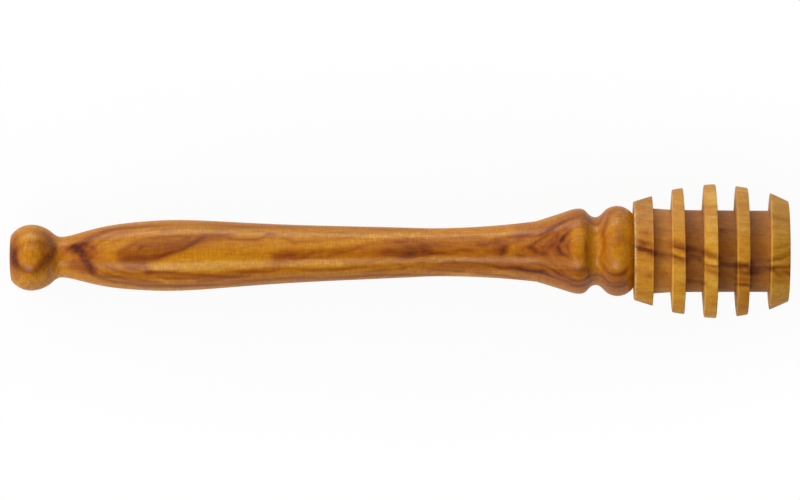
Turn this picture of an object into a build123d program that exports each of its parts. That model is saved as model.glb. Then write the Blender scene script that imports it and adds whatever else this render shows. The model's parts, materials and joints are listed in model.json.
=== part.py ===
from build123d import *
import math
import os

# A honey dipper of olive wood, in millimetres.
# The handle is one turning with a round tenon at its end. The head is a second
# turning, a barrel cut by grooves, with a blind socket. The tenon is glued into it.
# Each piece is drawn as half an outline: X runs down the turning axis from the
# tip of the knob, and Y is the distance out from the axis.

# Handle, from the tip of the knob to the shoulder that meets the head
face_dome = 0.27
face_diameter = 9.4
knob_rise = 4.1
knob_diameter = 13.6
knob_fall = 6.15
neck_diameter = 8.36
swell_rise = 22.8
swell_diameter = 14.6
swell_fall = 54.3
waist_diameter = 9.9
waist_rise = 20.6
flare_diameter = 12.46
flare_rise = 8.7
crest_diameter = 17.56
crest_fall = 3.5
cove_diameter = 13.98
cove_rise = 4.4
bead_diameter = 18.56
bead_fall = 3.3
shoulder_diameter = 15.0

# Tenon on the handle's end
tenon_diameter = 8.0
tenon_length = 18.0
tenon_chamfer = 0.8

# Cured glue around the tenon and under the shoulder
glue_film = 0.1
glue_squeeze = 0.35

# Head
head_length = 31.78
head_start_diameter = 20.2
head_end_diameter = 20.6
barrel_diameter = 27.5
barrel_middle = 17.0
start_cone_length = 7.7
start_cone_diameter = 25.0
end_cone_length = 4.05
end_cone_diameter = 24.2
core_diameter = 16.8
groove_width = 3.5
groove_flank_angle = 4.5
socket_end_room = 1.0
socket_mouth_chamfer = 0.4
drill_point_angle = 118.0

# Points between the ends of a curved stretch, as shares of its run and of its rise or fall
knob_fall_shares = ((0.42, 0.22), (0.62, 0.49), (0.80, 0.83))
swell_rise_shares = ((0.11, 0.13), (0.27, 0.44), (0.50, 0.76), (0.75, 0.93))
swell_fall_shares = ((0.21, 0.22), (0.44, 0.54), (0.78, 0.83), (0.91, 0.94))
flare_rise_shares = ((0.30, 0.32), (0.61, 0.66), (0.84, 0.91))
crest_fall_shares = ((0.30, 0.11), (0.53, 0.50), (0.76, 0.89))
cove_rise_shares = ((0.20, 0.14), (0.48, 0.65), (0.80, 0.95))
barrel_rise_shares = ((0.27, 0.37), (0.70, 0.85))
barrel_fall_shares = ((0.36, 0.21), (0.61, 0.48))

# The grooves were cut by hand, so no two are alike: where each is centred along the head,
# its width against the nominal one, and its floor's radius at both sides against the core's
groove_shares = (
    (0.1825, 1.02, (1.040, 1.010)),
    (0.3870, 1.00, (1.005, 1.000)),
    (0.5965, 0.99, (1.000, 0.995)),
    (0.8085, 1.14, (0.995, 0.995)),
)

# Directions in the half outline
AXIAL = (1, 0)
BACK = (-1, 0)
OUTWARD = (0, 1)

# Points taken on each edge to find how the part lies, and how far a cutter reaches past the wood
outline_steps = 24
cut_overrun = 1.0

# Places along the turning axis
knob_at = face_dome + knob_rise
neck_at = knob_at + knob_fall
swell_at = neck_at + swell_rise
waist_at = swell_at + swell_fall
flare_at = waist_at + waist_rise
crest_at = flare_at + flare_rise
cove_at = crest_at + crest_fall
bead_at = cove_at + cove_rise
shoulder_at = bead_at + bead_fall
tenon_end = shoulder_at + tenon_length
head_at = shoulder_at + glue_film
head_end = head_at + head_length

# Fits that follow the tenon
socket_diameter = tenon_diameter + 2 * glue_film
socket_floor = tenon_end + socket_end_room


def point(along, diameter):
    return (along, diameter / 2)


def smooth(start, end, shares, start_way=AXIAL, end_way=AXIAL):
    """A curve from start to end through the shares, with the given directions at its ends."""
    run, rise = end[0] - start[0], end[1] - start[1]
    between = [(start[0] + along * run, start[1] + out * rise) for along, out in shares]
    return Spline(start, *between, end, tangents=(start_way, end_way))


def handle_half():
    """The handle with its tenon, as the half outline that is turned round the axis."""
    tip = (0, 0)
    face_edge = point(face_dome, face_diameter)
    knob = point(knob_at, knob_diameter)
    neck = point(neck_at, neck_diameter)
    swell = point(swell_at, swell_diameter)
    waist = point(waist_at, waist_diameter)
    flare = point(flare_at, flare_diameter)
    crest = point(crest_at, crest_diameter)
    cove = point(cove_at, cove_diameter)
    bead = point(bead_at, bead_diameter)
    shoulder = point(shoulder_at, shoulder_diameter)
    flare_way = (flare_rise, (crest_diameter - flare_diameter) / 2)
    turned = [
        TangentArc(tip, face_edge, tangent=OUTWARD),
        TangentArc(knob, face_edge, tangent=BACK),
        smooth(knob, neck, knob_fall_shares),
        smooth(neck, swell, swell_rise_shares),
        smooth(swell, waist, swell_fall_shares),
        TangentArc(waist, flare, tangent=AXIAL),
        smooth(flare, crest, flare_rise_shares, start_way=flare_way),
        smooth(crest, cove, crest_fall_shares),
        smooth(cove, bead, cove_rise_shares),
        TangentArc(bead, shoulder, tangent=AXIAL),
    ]
    tenon = Polyline(
        shoulder,
        point(shoulder_at, tenon_diameter),
        point(tenon_end - tenon_chamfer, tenon_diameter),
        point(tenon_end, tenon_diameter - 2 * tenon_chamfer),
        (tenon_end, 0),
        tip,
    )
    return make_face([*turned, *tenon.edges()])


def barrel_half():
    """The head before its grooves and socket are cut: two cones with a full round belly between."""
    start = point(head_at, head_start_diameter)
    start_cone = point(head_at + start_cone_length, start_cone_diameter)
    widest = point(head_at + barrel_middle, barrel_diameter)
    end_cone = point(head_end - end_cone_length, end_cone_diameter)
    end = point(head_end, head_end_diameter)
    start_way = (start_cone[0] - start[0], start_cone[1] - start[1])
    end_way = (end_cone[0] - widest[0], end_cone[1] - widest[1])
    belly = [
        smooth(start_cone, widest, barrel_rise_shares, start_way=start_way),
        smooth(widest, end_cone, barrel_fall_shares, end_way=end_way),
    ]
    rest = Polyline(end_cone, end, (head_end, 0), (head_at, 0), start, start_cone)
    return make_face([*belly, *rest.edges()])


def groove_half(centre_share, width_share, floor_shares):
    """What one groove takes out: a slot whose flanks open outward."""
    centre = head_at + centre_share * head_length
    half_width = width_share * groove_width / 2
    left_floor, right_floor = (share * core_diameter / 2 for share in floor_shares)
    reach = barrel_diameter / 2 + cut_overrun
    spread = math.tan(math.radians(groove_flank_angle))
    left_mouth = centre - half_width - (reach - left_floor) * spread
    right_mouth = centre + half_width + (reach - right_floor) * spread
    outline = Polyline(
        (centre - half_width, left_floor),
        (centre + half_width, right_floor),
        (right_mouth, reach),
        (left_mouth, reach),
        close=True,
    )
    return make_face(outline)


def socket_half():
    """The blind hole for the tenon, with a bevelled mouth and the cone of the drill's point."""
    radius = socket_diameter / 2
    drill_point = radius / math.tan(math.radians(drill_point_angle / 2))
    outline = Polyline(
        (head_at, 0),
        (head_at, radius + socket_mouth_chamfer),
        (head_at + socket_mouth_chamfer, radius),
        (socket_floor, radius),
        (socket_floor + drill_point, 0),
        close=True,
    )
    return make_face(outline)


def head_half():
    half = barrel_half()
    for centre_share, width_share, floor_shares in groove_shares:
        half -= groove_half(centre_share, width_share, floor_shares)
    return half - socket_half()


def glue_half():
    """A sleeve round the tenon, a film under the shoulder and the little that was squeezed out."""
    socket_radius = socket_diameter / 2
    shoulder_radius = shoulder_diameter / 2
    outline = Polyline(
        point(shoulder_at, tenon_diameter),
        (shoulder_at, shoulder_radius),
        (head_at, shoulder_radius + glue_squeeze),
        (head_at, socket_radius + socket_mouth_chamfer),
        (head_at + socket_mouth_chamfer, socket_radius),
        (tenon_end - tenon_chamfer, socket_radius),
        point(tenon_end - tenon_chamfer, tenon_diameter),
        close=True,
    )
    return make_face(outline)


def outline_points(half):
    return [edge @ (step / outline_steps) for edge in half.edges() for step in range(outline_steps + 1)]


def resting_angle(handle, head):
    """How far the axis tilts when the part lies on a table, on its handle and on one rim."""
    turned = [spot for spot in outline_points(handle) if spot.X < shoulder_at]
    rims = [spot for spot in outline_points(head) if spot.X > head_at]
    return max(min(math.atan2(rim.Y - spot.Y, rim.X - spot.X) for spot in turned) for rim in rims)


def build():
    """The pieces as they lie on a table, with how they were tilted and moved there."""
    halves = {"handle": handle_half(), "head": head_half(), "glue": glue_half()}
    tilt = math.degrees(resting_angle(halves["handle"], halves["head"]))
    lying = {name: Rot(Y=-tilt) * revolve(half, axis=Axis.X) for name, half in halves.items()}
    box = Compound(list(lying.values())).bounding_box()
    stand = Pos(-box.center().X, -box.center().Y, -box.min.Z)
    return {name: stand * piece for name, piece in lying.items()}, tilt, stand


pieces, tilt, stand = build()
os.makedirs("parts", exist_ok=True)
for name, piece in pieces.items():
    piece.label = name
    export_step(piece, f"parts/{name}.step")
    print(name, "volume", round(piece.volume, 1), "mm3")

end_face = stand * Rot(Y=-tilt) * Pos(head_end, 0, 0)
print("overall length along the axis", round(head_end, 2), "mm")
print("lies tilted by", round(tilt, 3), "degrees")
print("centre of the head's end face", [round(value, 3) for value in end_face.position])
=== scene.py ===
import json
import math

import bmesh
import bpy
import numpy as np
from mathutils import Matrix, Vector


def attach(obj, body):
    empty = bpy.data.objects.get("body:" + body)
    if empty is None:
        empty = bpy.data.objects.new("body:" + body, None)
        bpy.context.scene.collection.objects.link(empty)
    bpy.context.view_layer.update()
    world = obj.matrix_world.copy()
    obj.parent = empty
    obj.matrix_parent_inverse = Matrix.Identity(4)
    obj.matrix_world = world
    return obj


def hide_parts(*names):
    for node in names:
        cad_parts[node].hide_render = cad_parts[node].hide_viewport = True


# A honey dipper of olive wood. The turned pieces are drawn in millimetres as half outlines:
# along is the distance from the tip of the knob down the turning axis, and out is the
# distance from that axis. Across is to the left of the axis and up is away from the table.

MM = 0.001
# Added where a division by 0 has to be kept away
TINY = 1e-9
rng = np.random.default_rng(41)

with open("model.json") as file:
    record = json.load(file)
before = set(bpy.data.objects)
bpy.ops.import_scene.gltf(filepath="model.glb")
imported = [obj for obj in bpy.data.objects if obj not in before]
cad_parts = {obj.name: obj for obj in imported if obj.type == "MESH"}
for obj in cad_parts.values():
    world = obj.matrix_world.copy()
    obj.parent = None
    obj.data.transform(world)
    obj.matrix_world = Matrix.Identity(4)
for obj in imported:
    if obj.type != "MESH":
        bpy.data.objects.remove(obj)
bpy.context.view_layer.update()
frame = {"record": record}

# Places along the axis and radii, as in the CAD source
FACE_EDGE = (0.27, 4.7)
KNOB = (4.37, 6.8)
NECK = (10.52, 4.18)
SWELL = (33.32, 7.3)
WAIST = (87.62, 4.95)
FLARE = (108.22, 6.23)
CREST = (116.92, 8.78)
COVE = (120.42, 6.99)
BEAD = (124.82, 9.28)
SHOULDER = (128.12, 7.5)
TENON_RADIUS, TENON_END, TENON_CHAMFER = 4.0, 146.12, 0.8

KNOB_FALL = ((0.42, 0.22), (0.62, 0.49), (0.80, 0.83))
SWELL_RISE = ((0.11, 0.13), (0.27, 0.44), (0.50, 0.76), (0.75, 0.93))
SWELL_FALL = ((0.21, 0.22), (0.44, 0.54), (0.78, 0.83), (0.91, 0.94))
FLARE_RISE = ((0.30, 0.32), (0.61, 0.66), (0.84, 0.91))
CREST_FALL = ((0.30, 0.11), (0.53, 0.50), (0.76, 0.89))
COVE_RISE = ((0.20, 0.14), (0.48, 0.65), (0.80, 0.95))

HEAD_START, HEAD_END = 128.22, 160.0
START_CORNER = (HEAD_START, 10.1)
START_CONE = (135.92, 12.5)
WIDEST = (145.22, 13.75)
END_CONE = (155.95, 12.1)
END_CORNER = (HEAD_END, 10.3)
BARREL_RISE = ((0.27, 0.37), (0.70, 0.85))
BARREL_FALL = ((0.36, 0.21), (0.61, 0.48))
FLANK_SPREAD = math.tan(math.radians(4.5))
# Each groove's middle, half its floor's width, and the floor's radius at both sides
GROOVES = (
    (134.020, 1.785, 8.736, 8.484),
    (140.519, 1.750, 8.442, 8.400),
    (147.177, 1.733, 8.400, 8.358),
    (153.914, 1.995, 8.358, 8.358),
)
# How much the head's flanks lean, by place along the axis: how much further along they are on each
# millimetre to the left. Towards its end the head is cut slightly short.
LEANING = (
    (131.0, 0.0), (135.6, 0.009), (138.6, -0.005), (142.3, 0.007), (145.2, 0.002),
    (148.8, 0.0), (152.0, 0.009), (155.8, 0.017), (160.0, 0.009),
)
CUT_SHORT = ((155.8, 0.0), (160.0, -0.1))
SOCKET_RADIUS, SOCKET_MOUTH, SOCKET_FLOOR, DRILL_TIP = 4.1, 0.4, 147.12, 149.58

# How many points the knob's face, an arc and each stretch of a curve have, before they are
# spaced evenly
FACE_STEPS, ARC_STEPS, CURVE_STEPS = 16, 60, 24
# How fine the meshes are: the steps along their outlines and the sectors round the axis
HANDLE_STEP, HANDLE_SECTORS = 0.3, 176
HEAD_STEP, HEAD_SECTORS = 0.36, 320
GLUE_SECTORS = 160
# How far a rim's edge is cut back, how much its corner pulls the bevel's middle outward, and how
# near to its edge a rim has no further rows
RIM_EASE, RIM_PULL, RIM_GAP = 0.07, 0.8, 0.15
# How often a groove's mouth is worked out anew from the barrel's radius there
MOUTH_ROUNDS = 8


def srgb(red, green, blue):
    """A colour written as 0 to 255 in sRGB, as the linear values that shaders take."""
    share = np.array([red, green, blue]) / 255
    linear = np.where(share <= 0.04045, share / 12.92, ((share + 0.055) / 1.055) ** 2.4)
    return (*linear.tolist(), 1.0)


def looked_up(at, rows):
    """The value at some places, on the straight lines between a table's rows."""
    return np.interp(at, *np.array(rows, float).T)


# The outlines

def spaced(points, step):
    """The same curve as points about step apart."""
    points = np.array(points, float)
    travel = np.concatenate([[0], np.cumsum(np.linalg.norm(np.diff(points, axis=0), axis=1))])
    at = np.linspace(0, travel[-1], max(2, round(travel[-1] / step)) + 1)
    return np.stack([np.interp(at, travel, values) for values in points.T], 1)


def arc(flat, end):
    """The circle that runs along the axis at flat and goes through end."""
    run, rise = end[0] - flat[0], end[1] - flat[1]
    radius = (run * run + rise * rise) / (2 * abs(rise))
    turn = np.linspace(0, math.asin(abs(run) / radius), ARC_STEPS)
    along = flat[0] + math.copysign(1, run) * radius * np.sin(turn)
    out = flat[1] + math.copysign(1, rise) * radius * (1 - np.cos(turn))
    return np.stack([along, out], 1)


def smooth(start, end, shares, start_way=(1, 0), end_way=(1, 0)):
    """The cubic spline from start to end through the shares, as the CAD source draws it."""
    run, rise = end[0] - start[0], end[1] - start[1]
    between = [(start[0] + along * run, start[1] + out * rise) for along, out in shares]
    points = np.array([start, *between, end], float)
    gap = np.linalg.norm(np.diff(points, axis=0), axis=1)
    count = len(points)
    rows, ways = np.eye(count), np.zeros((count, 2))
    ways[0] = np.array(start_way) / np.linalg.norm(start_way)
    ways[-1] = np.array(end_way) / np.linalg.norm(end_way)
    for i in range(1, count - 1):
        rows[i, i - 1:i + 2] = gap[i], 2 * (gap[i - 1] + gap[i]), gap[i - 1]
        before, after = points[i] - points[i - 1], points[i + 1] - points[i]
        ways[i] = 3 * (gap[i] / gap[i - 1] * before + gap[i - 1] / gap[i] * after)
    ways = np.linalg.solve(rows, ways)
    share = np.linspace(0, 1, CURVE_STEPS, endpoint=False)[:, None]
    pieces = []
    for i in range(count - 1):
        here, there = points[i], points[i + 1]
        leaving, arriving = ways[i] * gap[i], ways[i + 1] * gap[i]
        cubed = 2 * here - 2 * there + leaving + arriving
        squared = 3 * there - 3 * here - 2 * leaving - arriving
        pieces.append(cubed * share ** 3 + squared * share ** 2 + leaving * share + here)
    return np.concatenate([*pieces, points[-1:]])


def joined(*stretches):
    """Stretches that meet end to end, as one outline without doubled points."""
    return np.concatenate([stretches[0], *[stretch[1:] for stretch in stretches[1:]]])


def handle_outside():
    """The handle's outside from the tip of the knob to the shoulder."""
    shares = np.linspace(0, 1, FACE_STEPS)
    face = [(FACE_EDGE[0] * share ** 2, FACE_EDGE[1] * share) for share in shares]
    flare_way = (CREST[0] - FLARE[0], CREST[1] - FLARE[1])
    stretches = (
        np.array(face),
        arc(KNOB, FACE_EDGE)[::-1],
        smooth(KNOB, NECK, KNOB_FALL),
        smooth(NECK, SWELL, SWELL_RISE),
        smooth(SWELL, WAIST, SWELL_FALL),
        arc(WAIST, FLARE),
        smooth(FLARE, CREST, FLARE_RISE, start_way=flare_way),
        smooth(CREST, COVE, CREST_FALL),
        smooth(COVE, BEAD, COVE_RISE),
        arc(BEAD, SHOULDER),
    )
    return joined(*[spaced(stretch, HANDLE_STEP) for stretch in stretches])


def handle_outline():
    tenon = [
        SHOULDER,
        (SHOULDER[0], TENON_RADIUS),
        (TENON_END - TENON_CHAMFER, TENON_RADIUS),
        (TENON_END, TENON_RADIUS - TENON_CHAMFER),
        (TENON_END, 0.0),
    ]
    return joined(handle_outside(), np.array(tenon))


def barrel():
    """The head's outside before the grooves are cut."""
    start_way = (START_CONE[0] - START_CORNER[0], START_CONE[1] - START_CORNER[1])
    end_way = (END_CONE[0] - WIDEST[0], END_CONE[1] - WIDEST[1])
    return joined(
        np.array([START_CORNER, START_CONE]),
        smooth(START_CONE, WIDEST, BARREL_RISE, start_way=start_way),
        smooth(WIDEST, END_CONE, BARREL_FALL, end_way=end_way),
        np.array([END_CONE, END_CORNER]),
    )


def groove_corners(middle, half, left, right):
    """A groove's floor corners and the places where its flanks meet the barrel."""
    outside = barrel()
    corners = []
    for side, floor in ((-1, left), (1, right)):
        mouth = middle + side * half
        for _ in range(MOUTH_ROUNDS):
            out = looked_up(mouth, outside)
            mouth = middle + side * (half + (out - floor) * FLANK_SPREAD)
        corners.append(((middle + side * half, floor), (mouth, out)))
    (left_floor, left_mouth), (right_floor, right_mouth) = corners
    return left_mouth, left_floor, right_floor, right_mouth


def eased(before, corner, after):
    """A corner cut off by a narrow bevel with a rounded middle."""
    before, corner, after = (np.array(point, float) for point in (before, corner, after))
    back = corner + RIM_EASE * (before - corner) / np.linalg.norm(before - corner)
    on = corner + RIM_EASE * (after - corner) / np.linalg.norm(after - corner)
    middle = (back + on + RIM_PULL * corner) / (2 + RIM_PULL)
    return [back, middle, on]


def head_outline():
    """The head's outline from its drill point round the outside to the middle of its end face,
    and which of its rows, not counting that point, are the edges of rims."""
    outside = barrel()
    corners = [groove_corners(*groove) for groove in GROOVES]
    mouths = [mouth for groove in corners for mouth in (groove[0], groove[3])]
    rims = [START_CORNER, *mouths, END_CORNER]
    rows = [
        (DRILL_TIP, 0.0),
        (SOCKET_FLOOR, SOCKET_RADIUS),
        (HEAD_START + SOCKET_MOUTH, SOCKET_RADIUS),
        (HEAD_START, SOCKET_RADIUS + SOCKET_MOUTH),
    ]
    edges = []

    def line_to(point):
        rows.extend(spaced([rows[-1], point], HEAD_STEP)[1:])

    def add_edge(points):
        """Adds an edge's three rows, of which the first is there already."""
        edges.extend(range(len(rows) - 1, len(rows) + 2))
        rows.extend(points[1:])

    for number in range(0, len(rims), 2):
        left, right = np.array(rims[number]), np.array(rims[number + 1])
        inside = (outside[:, 0] > left[0] + RIM_GAP) & (outside[:, 0] < right[0] - RIM_GAP)
        top = np.concatenate([[left], outside[inside], [right]])
        after = (HEAD_END, 0) if number + 2 == len(rims) else corners[number // 2][1]
        first, last = eased(rows[-1], left, top[1]), eased(top[-2], right, after)
        line_to(first[0])
        add_edge(first)
        rows.extend(spaced([first[-1], *top[1:-1], last[0]], HEAD_STEP)[1:])
        add_edge(last)
        if number + 2 < len(rims):
            line_to(corners[number // 2][1])
            line_to(corners[number // 2][2])
    line_to((HEAD_END, 0.0))
    return np.array(rows), np.array(edges) - 1


# The pieces as meshes

mounts = {mount["name"]: mount for mount in frame["record"]["mounts"]}
end_face = mounts["head_end_face"]
AXIS = Vector(end_face["axis"]).normalized()
ACROSS = Vector((0, 1, 0))
UP = AXIS.cross(ACROSS)
KNOB_TIP = Vector(end_face["pos_m"]) - AXIS * HEAD_END * MM

# The handle's bow: how far its middle strays and how much less it strays at some reach from there
BOW_STRAY, BOW_DEPTH, BOW_MIDDLE, BOW_REACH = 0.26, 0.41, 95, 92
# How far the head strays where it starts, and how much less on each millimetre
HEAD_STRAY, HEAD_SLANT = 0.205, 0.012
# Edges where the surface turns by more than this stay sharp
SHARP_EDGE = math.radians(32)


def drift(along):
    """How far the wood strays sideways: the handle is slightly bowed and the head is set askew."""
    handle = BOW_STRAY - BOW_DEPTH * ((along - BOW_MIDDLE) / BOW_REACH) ** 2
    head = HEAD_STRAY - HEAD_SLANT * (along - SHOULDER[0])
    return np.where(along < (SHOULDER[0] + HEAD_START) / 2, handle, head)


def to_row(place, bent=True):
    """Points given as along, across and up in millimetres, in the row frame in metres."""
    across = place[..., 1] + (drift(place[..., 0]) if bent else 0)
    return (
        np.array(KNOB_TIP)
        + place[..., :1] * MM * np.array(AXIS)
        + across[..., None] * MM * np.array(ACROSS)
        + place[..., 2:] * MM * np.array(UP)
    )


def around(along, out, angle):
    """Points round the axis, as along, across and up. The angle runs from the top to the left."""
    return np.stack([along, out * np.sin(angle), out * np.cos(angle)], -1)


def turned_faces(rows, sectors, closed=False):
    """The quads between the rows of a turned surface. Unless it closes on itself like a ring, two
    fans of triangles run to the last two vertices, which are its ends."""
    row = np.arange(rows if closed else rows - 1)[:, None]
    sector = np.arange(sectors)[None, :]
    after, beside = (row + 1) % rows, (sector + 1) % sectors
    corners = (row * sectors + sector, after * sectors + sector,
               after * sectors + beside, row * sectors + beside)
    faces = np.stack(corners, -1).reshape(-1, 4).tolist()
    if not closed:
        start, last = rows * sectors, (rows - 1) * sectors
        pairs = [(i, (i + 1) % sectors) for i in range(sectors)]
        faces += [(start, one, other) for one, other in pairs]
        faces += [(start + 1, last + other, last + one) for one, other in pairs]
    return faces


def keep(mesh, name, vectors):
    """Writes three numbers for each vertex, for the materials to read."""
    kept = mesh.attributes.new(name, "FLOAT_VECTOR", "POINT")
    kept.data.foreach_set("vector", np.stack(vectors, -1).astype(np.float32).ravel())


def turned(name, outline, sectors, shape, closed=False):
    """A solid turned round the axis, shaped so that it isn't quite round, with each vertex's place
    along, across and up kept for the grain."""
    rows = outline if closed else outline[1:-1]
    angle = np.linspace(0, 2 * math.pi, sectors, endpoint=False)[None, :]
    along, out = np.repeat(rows[:, :1], sectors, 1), np.repeat(rows[:, 1:], sectors, 1)
    along, out = shape(along, out, angle)
    place = around(along, out, angle).reshape(-1, 3)
    if not closed:
        place = np.concatenate([place, [(outline[0][0], 0, 0), (outline[-1][0], 0, 0)]])
    mesh = bpy.data.meshes.new(name)
    mesh.from_pydata(to_row(place).tolist(), [], turned_faces(len(rows), sectors, closed))
    keep(mesh, "place", place.T)
    mesh.shade_smooth()
    mesh.set_sharp_from_angle(angle=SHARP_EDGE)
    piece = bpy.data.objects.new(name, mesh)
    bpy.context.scene.collection.objects.link(piece)
    return piece


def waves(angle, count):
    """A seeded curve round the axis, from about -1 to 1, of count waves."""
    numbers = rng.integers(1, count + 1, count)
    sizes = rng.normal(0, 1, count) / np.sqrt(numbers)
    phases = rng.uniform(0, 2 * math.pi, count)
    rows = zip(numbers, sizes, phases)
    curve = sum(size * np.sin(number * angle + phase) for number, size, phase in rows)
    return curve / (np.abs(curve).max() + TINY)


def bell(distance, width, height=1.0):
    """Height where the distance is 0, falling smoothly to 0 beyond the width on both sides."""
    return height * np.exp(-(distance / width) ** 2)


# Lines scored by the turner's tool: where they are and how deep, and how wide they all are
SCORES = ((1.35, 0.035), (2.25, 0.03), (3.35, 0.04), (117.0, 0.02))
SCORE_WIDTH = 0.13
# How much the handle is out of round, as a share of its radius, and in how many waves
UNROUND, UNROUND_WAVES = 0.0016, 5
# Along the edges of the rims: how deep they are worn, how deep the nicks are, how high a wave has
# to rise to cut one, and what share of a nick's depth two of an edge's three rows have
WEAR_DEPTH, WEAR_WAVES = 0.025, 60
NICK_DEPTH, NICK_FROM, NICK_WAVES, NICK_SHARE = 0.24, 0.42, 90, 0.7


def handle_shape(along, out, angle):
    """Lines that the turner's tool scored, and a surface that isn't quite round."""
    for place, depth in SCORES:
        out = out - bell(along - place, SCORE_WIDTH, depth)
    return along, out * (1 - UNROUND - UNROUND * waves(angle, UNROUND_WAVES))


def chipped(rows):
    """Nicks and wear along the edges of the rims, on flanks that lean as they were cut."""
    def shape(along, out, angle):
        for row in rows:
            wear = 0.5 + 0.5 * waves(angle[0], WEAR_WAVES)
            nick = np.clip(waves(angle[0], NICK_WAVES) - NICK_FROM, 0, None) * NICK_DEPTH
            depth = WEAR_DEPTH * wear + np.where(row % 3 == 1, nick, NICK_SHARE * nick)
            out[row] = out[row] - depth
        lean = looked_up(along, LEANING) * (out * np.sin(angle))
        return along + looked_up(along, CUT_SHORT) + lean, out
    return shape


def head():
    outline, edges = head_outline()
    return turned("head_turning", outline, HEAD_SECTORS, chipped(edges))


# The squeezed-out glue: the radii where it starts under the shoulder, of its foot and of its crest,
# how far the crest keeps from both pieces, how far it strays in and out and in how many waves
GLUE_START, GLUE_FOOT, GLUE_CREST = 6.6, 7.45, 7.7
GLUE_BEVEL, GLUE_STRAY, GLUE_WAVES = 0.02, 0.12, 40


def glue():
    """The cured glue between tenon and socket, squeezed out unevenly under the shoulder."""
    outline = [
        (SHOULDER[0], TENON_RADIUS),
        (SHOULDER[0], GLUE_START),
        (SHOULDER[0], GLUE_FOOT),
        (SHOULDER[0] + GLUE_BEVEL, GLUE_CREST),
        (HEAD_START - GLUE_BEVEL, GLUE_CREST),
        (HEAD_START, GLUE_FOOT),
        (HEAD_START, SOCKET_RADIUS + SOCKET_MOUTH),
        (HEAD_START + SOCKET_MOUTH, SOCKET_RADIUS),
        (TENON_END - TENON_CHAMFER, SOCKET_RADIUS),
        (TENON_END - TENON_CHAMFER, TENON_RADIUS),
    ]

    def uneven(along, out, angle):
        stray = GLUE_STRAY * waves(angle, GLUE_WAVES)
        return along, np.where(out > GLUE_FOOT, out + stray, out)

    piece = turned("glue_line", np.array(outline), GLUE_SECTORS, uneven, closed=True)
    add_drops(piece.data)
    return piece


# Dried drops of glue on the bead beside the seam: where they are along and, in degrees, round the
# axis from the top to the left, half their length and width, and how they slant
DROPS = (
    (127.40, -11, 0.75, 0.09, 0.3), (127.85, 47, 0.16, 0.30, 0.0), (127.70, 52, 0.20, 0.12, 0.5),
    (127.90, 33, 0.12, 0.20, 0.0), (127.80, 11, 0.14, 0.17, 0.2), (127.95, 22, 0.10, 0.26, 0.0),
    (127.95, 2, 0.10, 0.20, 0.0), (127.90, -6, 0.12, 0.12, 0.4), (127.95, -34, 0.10, 0.22, 0.0),
    (127.90, 71, 0.13, 0.25, 0.0), (127.95, 95, 0.10, 0.30, 0.0), (127.90, 128, 0.12, 0.20, 0.3),
    (127.95, 170, 0.10, 0.34, 0.0), (127.90, 214, 0.12, 0.22, 0.0), (127.95, 262, 0.10, 0.28, 0.0),
)
DROP_HEIGHT = 0.10
DROP_RINGS, DROP_SECTORS = 7, 12


def add_drops(mesh):
    """Adds each drop as a small closed dome that follows the bead's surface."""
    outside = handle_outside()
    tilt = np.linspace(0, math.pi, DROP_RINGS + 2)[1:-1, None]
    swing = np.linspace(0, 2 * math.pi, DROP_SECTORS, endpoint=False)[None, :]
    height = np.repeat(np.cos(tilt), DROP_SECTORS, 1).ravel()
    lift = np.concatenate([height, [1, -1]]) * DROP_HEIGHT
    faces = turned_faces(DROP_RINGS, DROP_SECTORS)
    shell = bmesh.new()
    shell.from_mesh(mesh)
    layer = shell.verts.layers.float_vector["place"]
    for along, turn, half_length, half_width, slant in DROPS:
        ahead = half_length * np.sin(tilt) * np.cos(swing)
        aside = half_width * np.sin(tilt) * np.sin(swing) + slant * ahead
        at = np.concatenate([(along + ahead).ravel(), [along, along]])
        out = looked_up(at, outside) + lift
        place = around(at, out, math.radians(turn) + np.concatenate([aside.ravel(), [0, 0]]) / out)
        corners = [shell.verts.new(spot) for spot in to_row(place)]
        for corner, spot in zip(corners, place):
            corner[layer] = spot
        for face in faces:
            shell.faces.new([corners[number] for number in face]).smooth = True
    bmesh.ops.recalc_face_normals(shell, faces=shell.faces)
    shell.to_mesh(mesh)
    shell.free()


handle_piece = turned("handle_turning", handle_outline(), HANDLE_SECTORS, handle_shape)
head_piece = head()
glue_piece = glue()

# The grain. The layers of the handle's wood cut its round surface in loops, vees and long veins.
# The main ones are drawn here as they lie on the upper side, and the finer ones come from noise.
# A vein is a course of points: along, across, how much darker it is there and half its width.
# Where a point leaves out its last numbers, they are those of the point before.

KNOB_VEINS = (
    ((1.6, 4.7, .06, .4), (.9, 3.6, .14, .42), (.8, 2, .24), (.8, .9, .26), (.9, -.7, .3, .4),
     (1.4, -1.5, .22, .42), (2.1, -1.95, .13, .45), (3.1, -2.3, .12, .5), (4.3, -2.6, .09),
     (5.3, -2.45, .14), (6.2, -1.9, .15, .45), (6.8, -1.3, .16, .42), (7.5, -.9, .18, .4),
     (8.2, -.1, .32, .42), (8.8, .7, .24, .38), (9, 1.5, .24, .36), (8.8, 2.3, .18, .38),
     (8.3, 3.1, .2, .4), (7.9, 3.9, .17), (7.3, 4.6, .11), (6.2, 5.1, .06), (5, 5.3, .03)),
    ((4.2, 3.2, .05, .25), (5.6, 3.3, .09), (6.8, 3.1), (7.5, 2.5, .05)),
    ((1.7, 3.6, .05, .45), (2.2, 2.4, .09), (2.4, 1, .05), (2, -.6, .04, .4)),
)
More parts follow.
